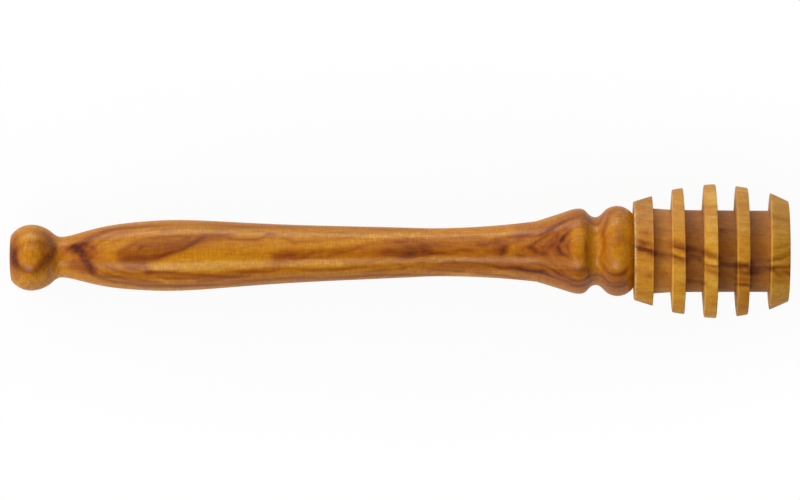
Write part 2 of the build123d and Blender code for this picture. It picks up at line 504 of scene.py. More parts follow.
VEE_VEINS = (
    ((12, 1.4, .14, .5), (13.1, 1.7, .3, .6), (13.9, 2.1, .28), (14.8, 2.6, .26, .55), (15.6, 3, .26, .5),
     (16.4, 3.5, .24, .45), (17.3, 4, .22, .42), (18.2, 4.4, .22, .4), (18.8, 4.75, .22, .35),
     (19.6, 5.1, .18, .3), (20.6, 5.4, .19, .25), (21.8, 5.6, .18, .24), (23.5, 5.75, .19), (25, 5.8),
     (27, 5.95, .2), (29, 6.1, .16), (31, 6.15, .1, .25), (34, 6.2, .06, .3), (38, 6.25), (42, 6.1, .07),
     (45, 5.85, .12, .26), (48, 5.65, .14, .25), (51, 5.6, .12), (53.5, 5.6, .1), (56, 5.4, .14, .28),
     (58, 5.3, .12), (60, 5.3, .08, .25), (64, 5.2, .06), (68, 5.05, .07), (72, 4.9, .06), (76, 4.7, .08),
     (80, 4.6, .07), (85, 4.5, .03)),
    ((13.1, 1.6, .26, .5), (14, 1.2, .28, .6), (14.9, .6, .34), (15.2, 0, .32), (15.4, -.7, .28, .55),
     (15.9, -1.4, .28, .5), (16.4, -2.1, .3), (16.9, -2.8), (17.2, -3.4, .3, .45), (17.7, -3.8, .26, .4),
     (18.4, -4.2, .24, .35), (19.2, -4.6, .22, .3), (20.3, -4.95, .2, .22), (21.5, -5.25),
     (23, -5.4, .17), (24.5, -5.65, .18), (26, -5.95, .2), (28, -6.15, .2, .2), (30, -6.2),
     (32, -6.25, .24, .22), (34, -6.3, .28), (36, -6.3), (38, -6.3, .22, .2), (40, -6.2, .2),
     (42, -6.15, .17), (44, -6.05, .15, .18), (47, -5.85, .1), (50, -5.6, .08), (53, -5.2, .08, .2),
     (56, -5, .12, .22), (59, -5.05, .13), (63, -5.05, .11), (66, -5, .13), (70, -4.85, .18),
     (73, -4.7, .24, .2), (76, -4.65, .22), (79, -4.6), (82, -4.55, .16), (85, -4.65, .14),
     (88, -4.6, .1), (91, -4.6, .04)),
    ((17.2, 1.9, .06, .35), (17.7, 1.4, .09), (17.9, .9, .04)),
    ((16.5, -.3, .08, .3), (16.9, 0, .12, .35), (17.4, .2, .05, .3)),
    ((18, -3.9, .14, .2), (19, -4.15, .2, .18), (20, -4.25, .22), (21, -4.3, .2), (22, -4.4, .17),
     (23, -4.6, .16), (24.5, -5, .12), (26, -5.3, .1), (28, -5.5, .08), (30, -5.7, .03)),
    ((19.3, -3.6, .1, .18), (20.6, -3.8, .13), (22, -4.05, .14), (23.4, -4.2, .12), (25, -4.4, .1, .2),
     (26.5, -4.7, .14, .25), (27.6, -5, .15, .22), (29, -5.2, .08, .2), (30.5, -5.4, .03)),
    ((19.8, -2.1, .08, .3), (20.6, -2.4, .11), (21.8, -2.8, .08, .25), (23, -3.2, .1), (24.3, -3.6, .15),
     (25.5, -3.8, .08), (26.6, -3.8, .05)),
    ((23.6, -2.3, .06, .3), (24.6, -2.45, .14, .25), (25.6, -2.7, .12), (26.6, -2.9, .06)),
    ((18.6, 3.5, .05, .3), (19.6, 3.8, .1, .25), (20.8, 4.1, .1, .22), (22, 4.5, .05, .2),
     (24, 4.8, .03)),
)
SWELL_VEINS = (
    ((23, -.8, .05, .4), (24.2, -.5, .09, .5), (26, -.3, .05), (29, -.5, .07, .4), (31, -.15, .12),
     (32.8, .35, .17, .35), (34.4, .8, .11), (36, 1.3), (37, 1.9, .13, .4), (37.7, 2.4, .11),
     (39, 3.2, .13, .35), (40.2, 3.9, .1, .3)),
    ((22.4, .5, .05, .6), (23.3, 1), (24.3, 1.6, .05, .5), (25.2, 2.4, .08, .4), (26.6, 2.9, .05, .3)),
    ((26.6, 1.4, .1, .25), (27.2, 1.8, .12), (27.8, 2, .04)),
    ((26, 3.2, .05, .15), (28, 3.5, .1), (30, 3.65, .14, .16), (32, 3.85), (34, 4, .11),
     (36, 3.9, .06, .2), (38, 4, .04)),
    ((35.8, 3.2, .04, .25), (36.5, 3.4, .09), (37, 3.7, .04)),
    ((39, 4.1, .04, .25), (40.5, 4.15, .09), (42, 4.1, .13), (44, 4.1, .12), (45.2, 4.1, .11, .22),
     (46.6, 4, .04, .2)),
    ((45.2, 3.35, .08, .2), (47, 3.1, .13), (49, 2.95, .14), (50.5, 2.95), (51.6, 3.15, .12),
     (52.2, 3.6, .12, .22), (52.8, 4, .26, .28), (53.8, 4.05, .24, .25), (54.9, 3.8, .06)),
    ((30.5, 5, .03, .25), (31.5, 5.05, .12), (33, 5.1, .09), (34.6, 5.2, .03)),
    ((49.6, 4.9, .03, .2), (51, 4.8, .1), (52.4, 4.7, .03)),
    ((41, 5.1, .02, .2), (43.2, 5.1, .08), (45.2, 5.2, .02)),
    ((27.2, -3.5, .1, .25), (28.4, -3.35, .22, .26), (29.6, -3.35, .19, .25), (31, -3.4, .12, .22),
     (33, -3.5, .1, .2), (35, -3.8, .07), (38, -4, .08, .25), (39.6, -4.2, .13), (41.2, -4.2, .15, .22),
     (43, -4.35, .11, .25), (44.6, -4.55, .15), (46.4, -4.6, .16), (47.8, -4.3, .08)),
    ((46.6, -3.7, .06, .2), (48.4, -3.65, .14, .25), (50, -3.5), (52, -3.5, .09, .2), (54, -3.6, .05)),
    ((38.4, -5.3, .06, .2), (40, -5.2, .09), (42, -5.1, .05), (43.2, -4.95, .11), (44.4, -5.1, .04)),
    ((45, -5.5, .04, .25), (47.5, -5.4, .08), (50, -5.2, .07), (53, -4.9, .04)),
    ((30.6, -4.3, .06, .2), (31.6, -4.7, .12, .18), (32.8, -5, .11, .16), (34.4, -5, .08),
     (36.4, -4.9, .07), (38.4, -4.9, .06)),
)
WAIST_VEINS = (
    ((56, 1.5, -.02, .6), (60, 1.8, -.03), (64, 1.9), (68, 2.3, -.05), (72, 2.7, -.07, .55),
     (76, 3.1, -.08), (80, 3.8, -.07, .5), (84, 3.9), (87, 3.7, -.05, .45), (91, 3.6, -.04, .4),
     (95, 3.7), (98, 3.4, -.04, .35), (100.5, 3.6, -.04, .4), (103, 4.4, -.05), (106, 4.7, -.03)),
    ((55.5, 3.5, .04, .3), (57.2, 2.9, .1), (58.6, 2.2, .14), (59.4, 2.4, .1, .25), (61, 2.5, .08, .3),
     (63, 2.5, .09), (65, 2.6, .06), (67, 2.8, .08, .25), (69, 3.1, .12, .22), (70.6, 3.3, .06)),
    ((67.4, 3.7, .02, .3), (68.4, 4, .08, .25), (69.6, 4.1, .02, .3)),
    ((54.6, -.6, .03, .35), (55.8, -.4, .06), (57.2, -.1, .1, .4), (58.6, -.3, .06)),
    ((59.6, -.9, .03, .3), (60.4, -.8, .09), (61, -.4, .04), (62.4, .3, .05)),
    ((65.4, -.4, .05, .35), (67, -.1, .07, .3), (68.2, .2, .1), (69.6, .3, .07), (70.4, .8, .06),
     (71.6, 1.5, .06, .25), (73.5, 1.7), (75, 1.9, .03)),
    ((75.2, .1, .05, .6), (77, .2, .17), (78, .15, .25, .55), (79, 0, .2, .6), (80.2, -.4, .19, .7),
     (81.5, -.4, .27), (82.6, -.3, .29, .65), (83.8, 0, .29, .6), (84.8, .1), (85.8, -.1, .23, .5),
     (86.8, -.2, .2, .4), (88, -.2, .17, .35), (89.4, -.3, .12, .3), (90.6, -.5, .04)),
    ((80.3, .9, .05, .5), (82.5, 1.2, .11, .4), (85, 1.4), (87.5, 1.4, .07), (90, 1.3, .04)),
    ((78.6, 2, .05, .3), (80.2, 2.1, .1), (81.6, 2.4, .06)),
    ((91.3, .3, .06, .3), (92.8, .6, .09), (93.8, .4, .13, .25), (95.2, .2, .04, .3)),
    ((95.6, 1.4, .06, .25), (96.8, 1.4, .15, .28), (97.8, 1.3, .15, .25), (98.5, 1.8, .08)),
    ((88, 3, .03, .2), (89.4, 3.05, .07), (91.5, 2.9, .04), (94, 3.2, .07), (96, 3.2, .03)),
    ((54, -3.4, .05, .3), (56.5, -3.1, .07), (58.5, -3.1, .07, .25), (61, -3.3, .1, .28),
     (62.6, -3.45, .15, .25), (64, -3.3, .09), (66, -3.3, .11, .28), (67.6, -3.4, .13),
     (69.5, -3.2, .09, .25), (71.5, -3, .08), (73, -2.7, .04)),
    ((73, -2, .04, .2), (74.2, -1.7, .12, .22), (75.4, -1.4, .06), (77, -1.1, .04, .2)),
    ((74.4, -3.5, .06, .25), (75.4, -3.6, .1, .2), (76.6, -3.4), (77.6, -3.5, .04)),
    ((80.2, -3.3, .05, .3), (80.8, -3, .13, .25), (81.3, -3.3, .04)),
    ((84.2, -1.4, -.04, .4), (86.4, -1.3, -.08, .45), (88.5, -1.5, -.06, .4), (90, -1.4, -.04, .35),
     (92, -1.5, -.07), (94.2, -1.6, -.08), (96, -1.7, -.03), (99, -1.6, -.02, .4)),
    ((85.8, -3.4, .04, .25), (86.9, -3.4, .09, .22), (88.3, -3.5, .08, .25), (90, -3.7, .06),
     (92.2, -3.9, .13, .22), (93.4, -3.8, .04)),
    ((91, -1.6, .09, .22), (91.2, -2)),
    ((89.4, -4.4, -.03, .3), (92, -4.4, -.08), (94.2, -4.6, -.05)),
)
FLARE_VEINS = (
    ((87, -2.5, .03, .2), (88.6, -2.4, .08), (90, -2.15, .09, .18), (92, -2.2, .12), (94.8, -2.25, .14),
     (97, -2.5, .11, .2), (98.6, -2.8, .11, .22), (99.7, -3.1, .2, .28), (101, -3.4, .15),
     (103, -3.3, .14, .3), (104.5, -3.4, .17), (106, -3.9, .2), (107.5, -4.2, .18), (109, -4, .28, .4),
     (110, -4.6, .23, .3), (111, -5, .21, .25), (112, -5.4, .21, .22), (113, -5.8, .21, .2),
     (114, -6.1, .18), (115, -6.4, .14)),
    ((95.5, -4.4, .08, .18), (98, -4.65, .13), (100.5, -4.9, .14), (102.5, -5.2, .16, .2),
     (104, -5.4, .12), (105.5, -5.6, .06)),
    ((99.6, -4, -.03, .3), (102, -4.3, -.05), (105, -4.8), (108, -5.3)),
    ((100.8, -.9, .1, .5), (101.2, -.3, .22, .55), (101.5, .3, .28, .6), (101.6, .8, .2, .5),
     (102, 1.15, .12, .4), (102.3, 1.6, .06, .35)),
    ((98.3, .1, .05, .7), (99.8, .3, .12, .8), (100.8, .8, .11)),
    ((99, 1.7, .05, .4), (99.7, 1.9, .09, .5), (100.6, 2.3, .05, .4)),
    ((102.6, 2.3, -.04, .3), (104, 2.6), (106.4, 2.6, -.03, .35)),
    ((102.2, 2.9, .08, .2), (104, 3.2, .09, .22), (106, 3.5, .06, .2), (107.4, 3.3, .05),
     (108.3, 3.3, .11), (108.8, 3.4, .18, .25), (109.6, 3.8, .18, .22), (110.4, 4.3, .23, .25),
     (111.1, 4.6, .28, .28), (111.9, 5.1, .17, .22), (112.6, 5.5, .24), (113.5, 6, .2, .2),
     (114.6, 6.4, .16), (115.8, 6.85, .1), (117, 7.1, .08)),
    ((103.4, -.7, .05, .25), (104.6, -.9, .13, .2), (105.5, -.95, .08)),
    ((105.9, .9, .04, .4), (106.7, .8, .09, .45), (107.3, .35, .13), (107.8, .05, .12, .4),
     (108.4, -.35, .1, .35), (109.4, -.55), (110.2, -.4, .04, .3)),
    ((106.6, 1, .1, .3), (107.4, 1.5, .13, .25), (108.1, 2.1, .2), (108.9, 2.7, .11, .22),
     (109.9, 3.15, .15), (110.6, 3.7, .1, .25), (111.3, 4.2)),
    ((112.4, 6.7, .03, .2), (114, 7.1, .05), (116, 7.6), (118, 7.5, .1)),
    ((110.5, .6, .05, .3), (110.9, 1, .12, .35), (111.4, 1.4, .12, .3), (111.9, 1.9, .08, .25),
     (112.1, 2.8, .11), (112.3, 3.7, .05)),
    ((112.3, .9, .12, .3), (112.7, .3, .19, .28), (112.9, -.4, .18), (113.5, -.65, .2, .3),
     (114.2, -.9, .08, .25)),
    ((112.7, 1.7, .08, .3), (113.15, 2.3, .3, .35), (113.5, 3, .15, .3), (114.1, 3.5, .13, .25),
     (114.7, 4.4, .05)),
    ((113.6, 1.1, .05, .2), (114.4, 1.5, .1, .22), (114.7, 2.3, .05, .2)),
    ((114.4, .7, .08, .2), (114.7, -.1), (114.9, -.9, .04)),
    ((106.2, -2.5, .05, .2), (107.2, -2.4, .14), (108.2, -2.4), (109, -2.8, .13), (110.2, -3.3, .1)),
    ((106, -1.6, -.02, .3), (107.6, -1.7, -.03, .25), (108.8, -2.2, -.06, .22), (110, -2.8, -.05, .2),
     (111.2, -3.2, -.04), (113, -3.6, -.02)),
    ((110.6, -4.4, -.03, .12), (111.6, -4.9, -.06, .13), (113, -5.55), (114.4, -6.1, -.06, .14),
     (115.6, -6.5, -.04, .15)),
)
BEAD_VEINS = (
    ((110.4, -3.5, .08, .22), (111.2, -3.9, .2), (112, -4.4, .24, .25), (112.9, -4.9, .22, .22),
     (113.8, -5.3, .17, .2), (114.6, -5.7, .19), (115.4, -6, .21, .22), (116.2, -6.15, .15, .2),
     (117.2, -6.1, .13), (117.9, -5.6, .19, .22), (118.6, -5.2, .14, .2), (119.6, -4.9, .13),
     (120.6, -4.85, .14), (121.4, -5.2, .13), (122.2, -6.1), (123.4, -6.6), (124.8, -6.7), (126.2, -6.5),
     (127, -5.8, .1)),
    ((115, -6.8, .15, .18), (116, -7.05, .18), (117.2, -7.1, .16), (118.2, -6.8, .12), (119, -6.2, .08),
     (120.4, -5.6, .05, .2), (121.6, -6.2, .08), (122.6, -7.1, .15), (123.8, -7.4, .17, .18), (125, -7.4),
     (126.4, -7, .13)),
    ((115.8, -3.8, .05, .3), (117, -3.8, .09), (118.2, -3.5, .06)),
    ((116.9, -1, .05, .3), (117.5, -.4, .06), (117.6, .2, .04)),
    ((118, 2.2, .05, .2), (118.1, 1.2, .15, .22), (118.1, 0, .11, .2), (118.1, -.8), (118.2, -2, .04)),
    ((117.3, 6.6, .04, .25), (118.1, 6.9, .13, .3), (118.8, 6.4, .11, .25), (119.4, 5.7, .13, .22),
     (120.2, 5.35, .11), (120.9, 5.7, .09), (121.3, 6.6, .11), (121.9, 7.6, .08)),
    ((120.9, -1.4, .12, .25), (121.5, .2, .07), (121.7, 1.4, .09, .3), (121.7, 3, .13), (121.9, 4.6, .11),
     (122.3, 6), (122.9, 7.5, .08), (124, 8.4, .05)),
    ((121.4, -2.4, .1, .28), (121.9, -3.6, .15, .3), (122.4, -4.4, .18, .28), (123.2, -4.9, .11),
     (124.2, -4.95, .13), (125.2, -4.7, .14), (126.1, -4.2, .11), (126.7, -3.2, .06)),
    ((124.3, .7, .04, .5), (124.8, 2, .08), (124.8, 3.4), (124.6, 4.7, .03)),
    # The last course darkens the bead's lower side beside the seam: painted shade in the corner under the
    # head
    ((127.5, 1, .02, .3), (127.6, -1.6, .06), (127.6, -3, .15), (127.7, -5.5, .16), (127.2, -7.2, .08)),
)
VEINS = VEE_VEINS + SWELL_VEINS + WAIST_VEINS + FLARE_VEINS + BEAD_VEINS

# The veins and areas are drawn from this far down the axis
DRAWING_START = 0.25

# Where the surface is lighter or darker over an area, mostly by the wood's figure and in a few marked
# rows
# by painted light or shade: by how much, how much greener or redder it is, how softly it ends, and its
# corners as places along and across
AREAS = (
    # This row lightens the knob's middle: partly its paler wood, partly a painted highlight
    (.05, .3, .6, ((2.4, 6), (4.6, 6.6), (6, 5.4), (5.8, 1), (5, -1.6), (3, -1.6), (2, 1), (1.4, 4.6))),
    (-.08, -.4, .3, ((6.3, 3), (7.6, 3), (8.2, 1.5), (8, 0), (7, -.9), (6.2, -1.2), (6.3, .5))),
    (.05, 0, .5, ((.3, -4), (3, -3.7), (6, -3.5), (8.5, -3), (9, -4.6), (7, -6.2), (4.4, -6.9),
     (.4, -4.9))),
    (.07, 0, .45, ((9.3, -1.6), (11.5, -1.6), (13, -3.2), (16.5, -4.2), (22, -5.8), (24, -6.6),
     (14, -5.4), (10, -4.5), (8.5, -4.8))),
    (-.1, -.2, .5, ((13, 2.1), (15.6, 2.9), (16.6, 2.6), (16.4, 1.6), (15.9, .6), (14.2, 1.2))),
    (-.08, -.5, .5, ((12, -.5), (14.4, -.6), (15.8, -2.2), (16.6, -3.4), (14, -3.2), (12.2, -2.6))),
    (-.06, -.5, .5, ((9.2, 2.2), (11, 2.4), (12.2, 1.8), (12, 0), (9.4, -.8))),
    (-.05, -.5, .4, ((15.9, 2.6), (17.8, 2.4), (18, .6), (17.6, -1.6), (16.8, -1.8), (16, .4))),
    (-.02, .1, .6, ((18, 3), (22, 3.4), (26, 4.2), (22.6, 1.9), (21.8, 0), (22.6, -1.4), (24, -2.2),
     (21, -2), (19, -1.6), (17.8, -.4), (17.9, 1.2))),
    (-.15, -.3, .6, ((22, .4), (22.6, 1.4), (23.8, 2.1), (25.4, 2.8), (27.5, 3.3), (31, 3.7), (34, 4),
     (38, 4.15), (42, 4.2), (45, 4.1), (45.4, 3.3), (42, 2.9), (40, 2.45), (38.2, 2), (37, 1.5), (36, .9),
     (34.4, .5), (33, -.1), (31.5, -.7), (29.5, -1.1), (28.2, -1.4), (28, -2.2), (26, -2.7), (24.2, -2.1),
     (22.9, -1.1), (22.2, -.3))),
    (.05, .1, .26, ((28, -1.6), (29, -1.05), (31.5, -.65), (33, -.05), (34.4, .55), (36, .95), (37, 1.55),
     (38.2, 2.05), (40, 2.5), (42, 2.95), (45, 3.15), (48, 2.85), (51, 2.85), (55, 3.1), (57, 2.5),
     (57, 1.2), (54, .3), (53.6, -1.2), (54.2, -2.4), (52, -2.8), (48, -3), (45, -3.3), (42, -3.8),
     (40, -3.7), (37, -3.5), (34, -3.15), (30, -2.95), (28.4, -2.3))),
    (.07, .1, .6, ((28.6, -1.5), (34, -.6), (40, -.6), (46, -.9), (52, -1.4), (52, -2.6), (46, -3),
     (42, -3.6), (36, -3.2), (30, -2.8))),
    (-.07, -.5, .2, ((28, -2.3), (29.5, -3), (34, -3.2), (37, -3.6), (41, -3.85), (44.5, -3.45),
     (48, -3.05), (52, -2.85), (55, -2.4), (56, -3.2), (52, -4.1), (50, -4.2), (48, -5), (44, -5),
     (39, -4.95), (34, -5), (32.4, -4.9), (31, -4.4), (28, -4), (27.6, -3))),
    (.08, 0, .2, ((31, -4.5), (32.4, -5), (34, -5.05), (38.3, -5), (38.4, -5.5), (37.8, -5.85),
     (34, -5.9), (32.2, -5.85), (31.2, -5.2))),
    (.05, 0, .2, ((50, -4.3), (52, -4.2), (54, -4.3), (53.5, -4.7), (51, -4.6))),
    (.06, 0, .2, ((24, -6.2), (30, -6.6), (38, -6.6), (46, -6.1), (46, -7), (34, -7.5), (24, -7))),
    # This band is partly the wood's olive band and partly painted light, in place of the broad sheen
    # along the upper side
    (.05, .5, .6, ((25, 4.2), (34, 4.3), (45, 4.2), (52, 4.3), (60, 3.2), (70, 3.4), (76, 3.9), (84, 4.4),
     (76, 4.6), (62, 5.1), (50, 5.4), (36, 5.9), (27, 5.6))),
    (-.09, -.5, .25, ((53.8, .2), (55.5, .8), (58, 1), (62, .9), (66, 1.1), (70, 1.4), (73, 1.8),
     (76, 2.1), (79, 2.5), (82, 2.6), (86, 2.4), (92, 2.1), (97, 2.4), (100, 2.9), (104, 3.6),
     (107.5, 3.9), (106, 2.6), (103.5, 1.4), (102.2, .9), (101.2, -.3), (101, -1), (98, -1), (94, -.9),
     (90, -.5), (86, -.7), (82, -1.3), (79, -1), (76, -.9), (72, -.9), (68, -.9), (64.5, -.9), (62, -1),
     (58, -1.3), (56, -1.4), (54.5, -1.8), (53.6, -.9))),
    (.12, .1, .25, ((56.6, -2.3), (57.6, -1.6), (60, -1.45), (62, -1.1), (65, -1.15), (67.5, -1.4),
     (68.8, -1.9), (68.4, -2.6), (65, -2.9), (61, -2.9), (58, -2.7))),
    (.06, .1, .2, ((72, -5.05), (78, -4.95), (84, -4.9), (92, -4.7), (97, -5.1), (92, -5.3),
     (78, -5.6))),
    (-.07, -.5, .25, ((84, -3.2), (88, -2.7), (92, -2.4), (98, -2.9), (99.6, -3.6), (98, -4.2),
     (94, -4.1), (90, -4.1), (86, -4))),
    (-.06, -.5, .3, ((99.6, -2.9), (103, -2.6), (107, -2.9), (110, -3.8), (109, -4.6), (104, -4.2),
     (100, -3.7))),
    (-.07, -.5, .6, ((106.4, .8), (108, 1.6), (110, 2.6), (112, 3.4), (114.6, 4.4), (115, 2), (114.8, 0),
     (115, -1.6), (113.4, -1), (110, -.8), (107.6, -.2))),
    (-.06, -.4, .3, ((115.4, -3.4), (118.2, -3), (118.4, -4.6), (116, -5), (115, -4.6), (113, -4.4),
     (112, -3.7))),
    # Lighter crest of the first bead: partly its golden wood, partly a painted highlight on the crest
    (.1, .1, .35, ((115, 3), (115.4, 4.3), (116.2, 5), (117.2, 4.9), (117.7, 3.6), (117.9, 1),
     (117.9, -1), (117.4, -2.9), (116.3, -3.4), (115.2, -2.8), (115, -1), (115.2, .8))),
    (.1, .3, .5, ((118.4, 5), (120.8, 5.2), (121, 0), (121, -4.2), (118.6, -4.4), (118.5, 0))),
    (.06, 0, .3, ((119.4, -5.7), (121, -5.5), (121.8, -7), (120.4, -7.4), (119, -7.1))),
    (.06, 0, .2, ((122.9, -2), (122.8, 1), (122.8, 4.5), (123.1, 7), (124, 8.2), (125.2, 8.2), (126.3, 7),
     (126.7, 4), (126.7, 0), (126.4, -2.6), (125.4, -4.2), (124.3, -4.4), (123.3, -3.8))),
    (.05, .1, .4, ((123.6, -1), (126, -1), (126, -3.2), (124.6, -4.2), (123.6, -3.4))),
    (-.07, -.4, .6, ((12.4, 2.6), (15, 3.6), (17.6, 3.2), (18.4, .5), (18.2, -3.2), (17, -4.2),
     (14.4, -3.4), (12.6, -1.4))),
    (-.09, -.2, .8, ((103.5, 5.6), (110, 6.4), (115.4, 8.8), (117.6, 9.2), (117.6, -9.2), (110, -7),
     (103.5, -5.6))),
    (-.05, 0, .6, ((118.6, 9), (128.4, 9.6), (128.4, -9.6), (118.6, -9))),
    (-.06, -.1, .5, ((120.8, -4.4), (128.4, -4.4), (128.4, -9.6), (120.8, -9.6))),
    (-.1, -.1, .5, ((84, -1.2), (90, -1.1), (98, -1.2), (103, -1.4), (103, -3.2), (96, -2.6),
     (84, -2.6))),
    (.03, .1, .4, ((46, -1.2), (52, -1.4), (56, -1.9), (54, -2.8), (46, -3), (36, -3.2), (30, -2.8),
     (28.6, -1.9), (36, -1.1))),
    # Paler, greener band at the seam: partly its greenish colour, partly painted light that lifts the
    # corner's shade
    (.14, .7, .3, ((126.4, 9.4), (128.4, 9.4), (128.4, -9.4), (126.4, -9.4))),
    (-.12, .2, .5, ((.1, 2.2), (1.5, 2), (1.7, -1), (1.9, -4.2), (.8, -4.8), (.1, -3))),
    # These two rows lighten and redden the wood along the lower and upper edges: painted light for the
    # light the sides catch
    (.03, -.2, .5, ((22, -6.6), (34, -6.6), (60, -5.5), (88, -4.2), (104, -5.2), (118, -8.4), (118, -9.5),
     (34, -8), (22, -8))),
    (.02, -.1, .8, ((22, 5.6), (34, 6.2), (60, 5.4), (88, 3.9), (104, 4.6), (118, 8), (118, 9.5), (34, 8),
     (22, 8))),
)

# The same for the head. Its layers stand upright, so they cross rims and groove floors alike.
HEAD_VEINS = (
    ((128.2, .45, .1, .45), (130, .15, .12), (131.2, -.25, .13, .42), (132.2, -.6, .14, .35)),
    ((128.2, .95, .07, .14), (130, .6, .08, .13), (131.2, .2, .07, .12), (132.2, -.1, .05)),
    ((129.9, 3.8, .04, .4), (130.5, 3.7, .09), (131.2, 3.5, .03)),
    ((130.6, -5, .05, .35), (131.1, -5.2, .11), (131.6, -5, .04, .3)),
    ((129.2, 1.9, .05, .3), (130, 1.6, .09), (131, 1.5, .05)),
    ((132.3, -.5, .12, .4), (133.3, -.6, .16, .35), (134.5, -.75, .12), (135.8, -.95, .08, .3)),
    ((133.8, -1.2, .04, .3), (134.8, -1.7, .08), (135.8, -2.3, .06)),
    ((132.6, 4.6, .05, .3), (134, 4.3, .06), (135.6, 4, .03)),
    ((134, -4.8, .05, .3), (134.6, -4.6, .09), (135.2, -4.7, .03)),
    ((135.9, 1.45, .1, .7), (137.3, 1.05, .1, .6), (138.7, .55, .11, .5)),
    ((135.9, .95, .06, .18), (137.3, .5, .07, .16), (138.7, .1, .06)),
    ((136.3, -.45, -.07, .2), (137.4, -.8, -.08), (138.6, -1.25, -.07)),
    ((135.9, -.9, .11, .35), (137.2, -1.4, .13, .5), (138.7, -1.95, .12)),
    ((136.6, -6.2, .04, .16), (137.6, -6.6, .08), (138.7, -7, .05)),
    ((138.9, .5, .07, .4), (140.3, .4, .12, .35), (141.2, 0, .07, .4), (142.3, .1, .06, .3)),
    ((139, -.9, .05, .4), (140.5, -1.2, .08), (141.6, -1.8, .11), (142.3, -2.2, .09, .3)),
    ((138.9, -6, .1, .28), (140.3, -6.2, .09, .26), (141.3, -6.3, .08), (142.3, -6.6, .11, .3)),
    ((142.3, -.4, .13, .5), (143.6, -.9, .14, .45), (145.3, -1.35, .13, .4)),
    ((142.4, -1.8, -.06, .3), (143.8, -2.1, -.07, .35), (145.2, -2.6, -.05, .3)),
    ((142.3, -2.75, .1, .14), (143.8, -3.1, .14, .13), (145.4, -3.3, .13, .14)),
    ((142.3, -3.5, .06, .35), (143.6, -4.1, .11, .4), (145.4, -4.9, .09, .35)),
    ((142.3, 7.7, .03, .2), (143.8, 7.5, .06), (145.4, 7.6, .03)),
    ((142.3, 9.2, .05, .25), (143.8, 9, .07, .2), (145.4, 9.1, .03)),
    ((145.6, -2.7, .13, .4), (146.6, -2.8, .17, .38), (147.6, -2.9, .19, .35), (148.9, -2.9, .17, .3)),
    ((145.8, -4.2, .05, .3), (147, -4.6, .09), (148.6, -5.3, .07)),
    ((145.6, 4.2, .05, .35), (146.2, 4.2, .09, .4), (147, 4, .03, .3)),
    ((145.6, -7.3, .06, .3), (146.6, -7.1, .05), (147.8, -7.2, .02)),
    ((148.8, -2.5, .1, .25), (150.2, -2.75, .15, .28), (151.9, -2.4, .09, .25)),
    ((148.8, -3.4, .09, .28), (150.4, -3.2, .11), (151.9, -3.3, .08, .25)),
    ((148.8, -4.2, .09, .3), (150.4, -4.5, .12), (151.9, -4.4, .07)),
    ((148.8, -6.7, .1, .22), (150.2, -6.75, .15), (151.9, -7.05, .12, .2)),
    ((149, -5.6, .05, .25), (150.6, -5.7, .07, .3), (151.9, -5.9, .04, .25)),
    ((152, -3.5, .15, .45), (153, -3.5, .13, .35), (154.2, -3.3, .1, .3), (155.8, -3.4, .16, .35)),
    ((152, -4.4, .12, .4), (153.2, -4.3, .11, .3), (154.4, -4, .06)),
    ((152, -1.9, .08, .35), (153.4, -1.7, .05, .3), (155.6, -1.9, .06)),
    ((155.9, -1.9, .09, .25), (157.4, -1.5, .12, .22), (158.8, -1.1, .1), (160, -.5, .09, .2)),
    ((155.9, -3.3, .11, .28), (157.4, -3.2, .12, .25), (158.8, -3.1, .11, .28), (160, -3, .11, .3)),
    ((155.9, -3.9, .08, .3), (156.6, -3.9, .07), (157.2, -4.7, .1, .32), (158, -4.8, .04, .3)),
    ((158, -4.1, .05, .3), (159, -4.2, .1), (160, -4.6, .09)),
    ((155.9, -6, .05, .3), (157.6, -6.1, .07), (159.6, -6.3, .04)),
    ((156.4, 7.1, .03, .3), (157.6, 6.8, .06, .25), (159.4, 6.3, .05)),
    ((155.9, -2.5, -.02, .25), (158, -2.3), (160, -2.1, -.02, .2)),
    ((156, -1.2, .06, .15), (157.6, -.9, .08), (160, .1, .06)),
    ((156, .6, .03, .15), (158, .9, .05), (160, 1.6, .03)),
)
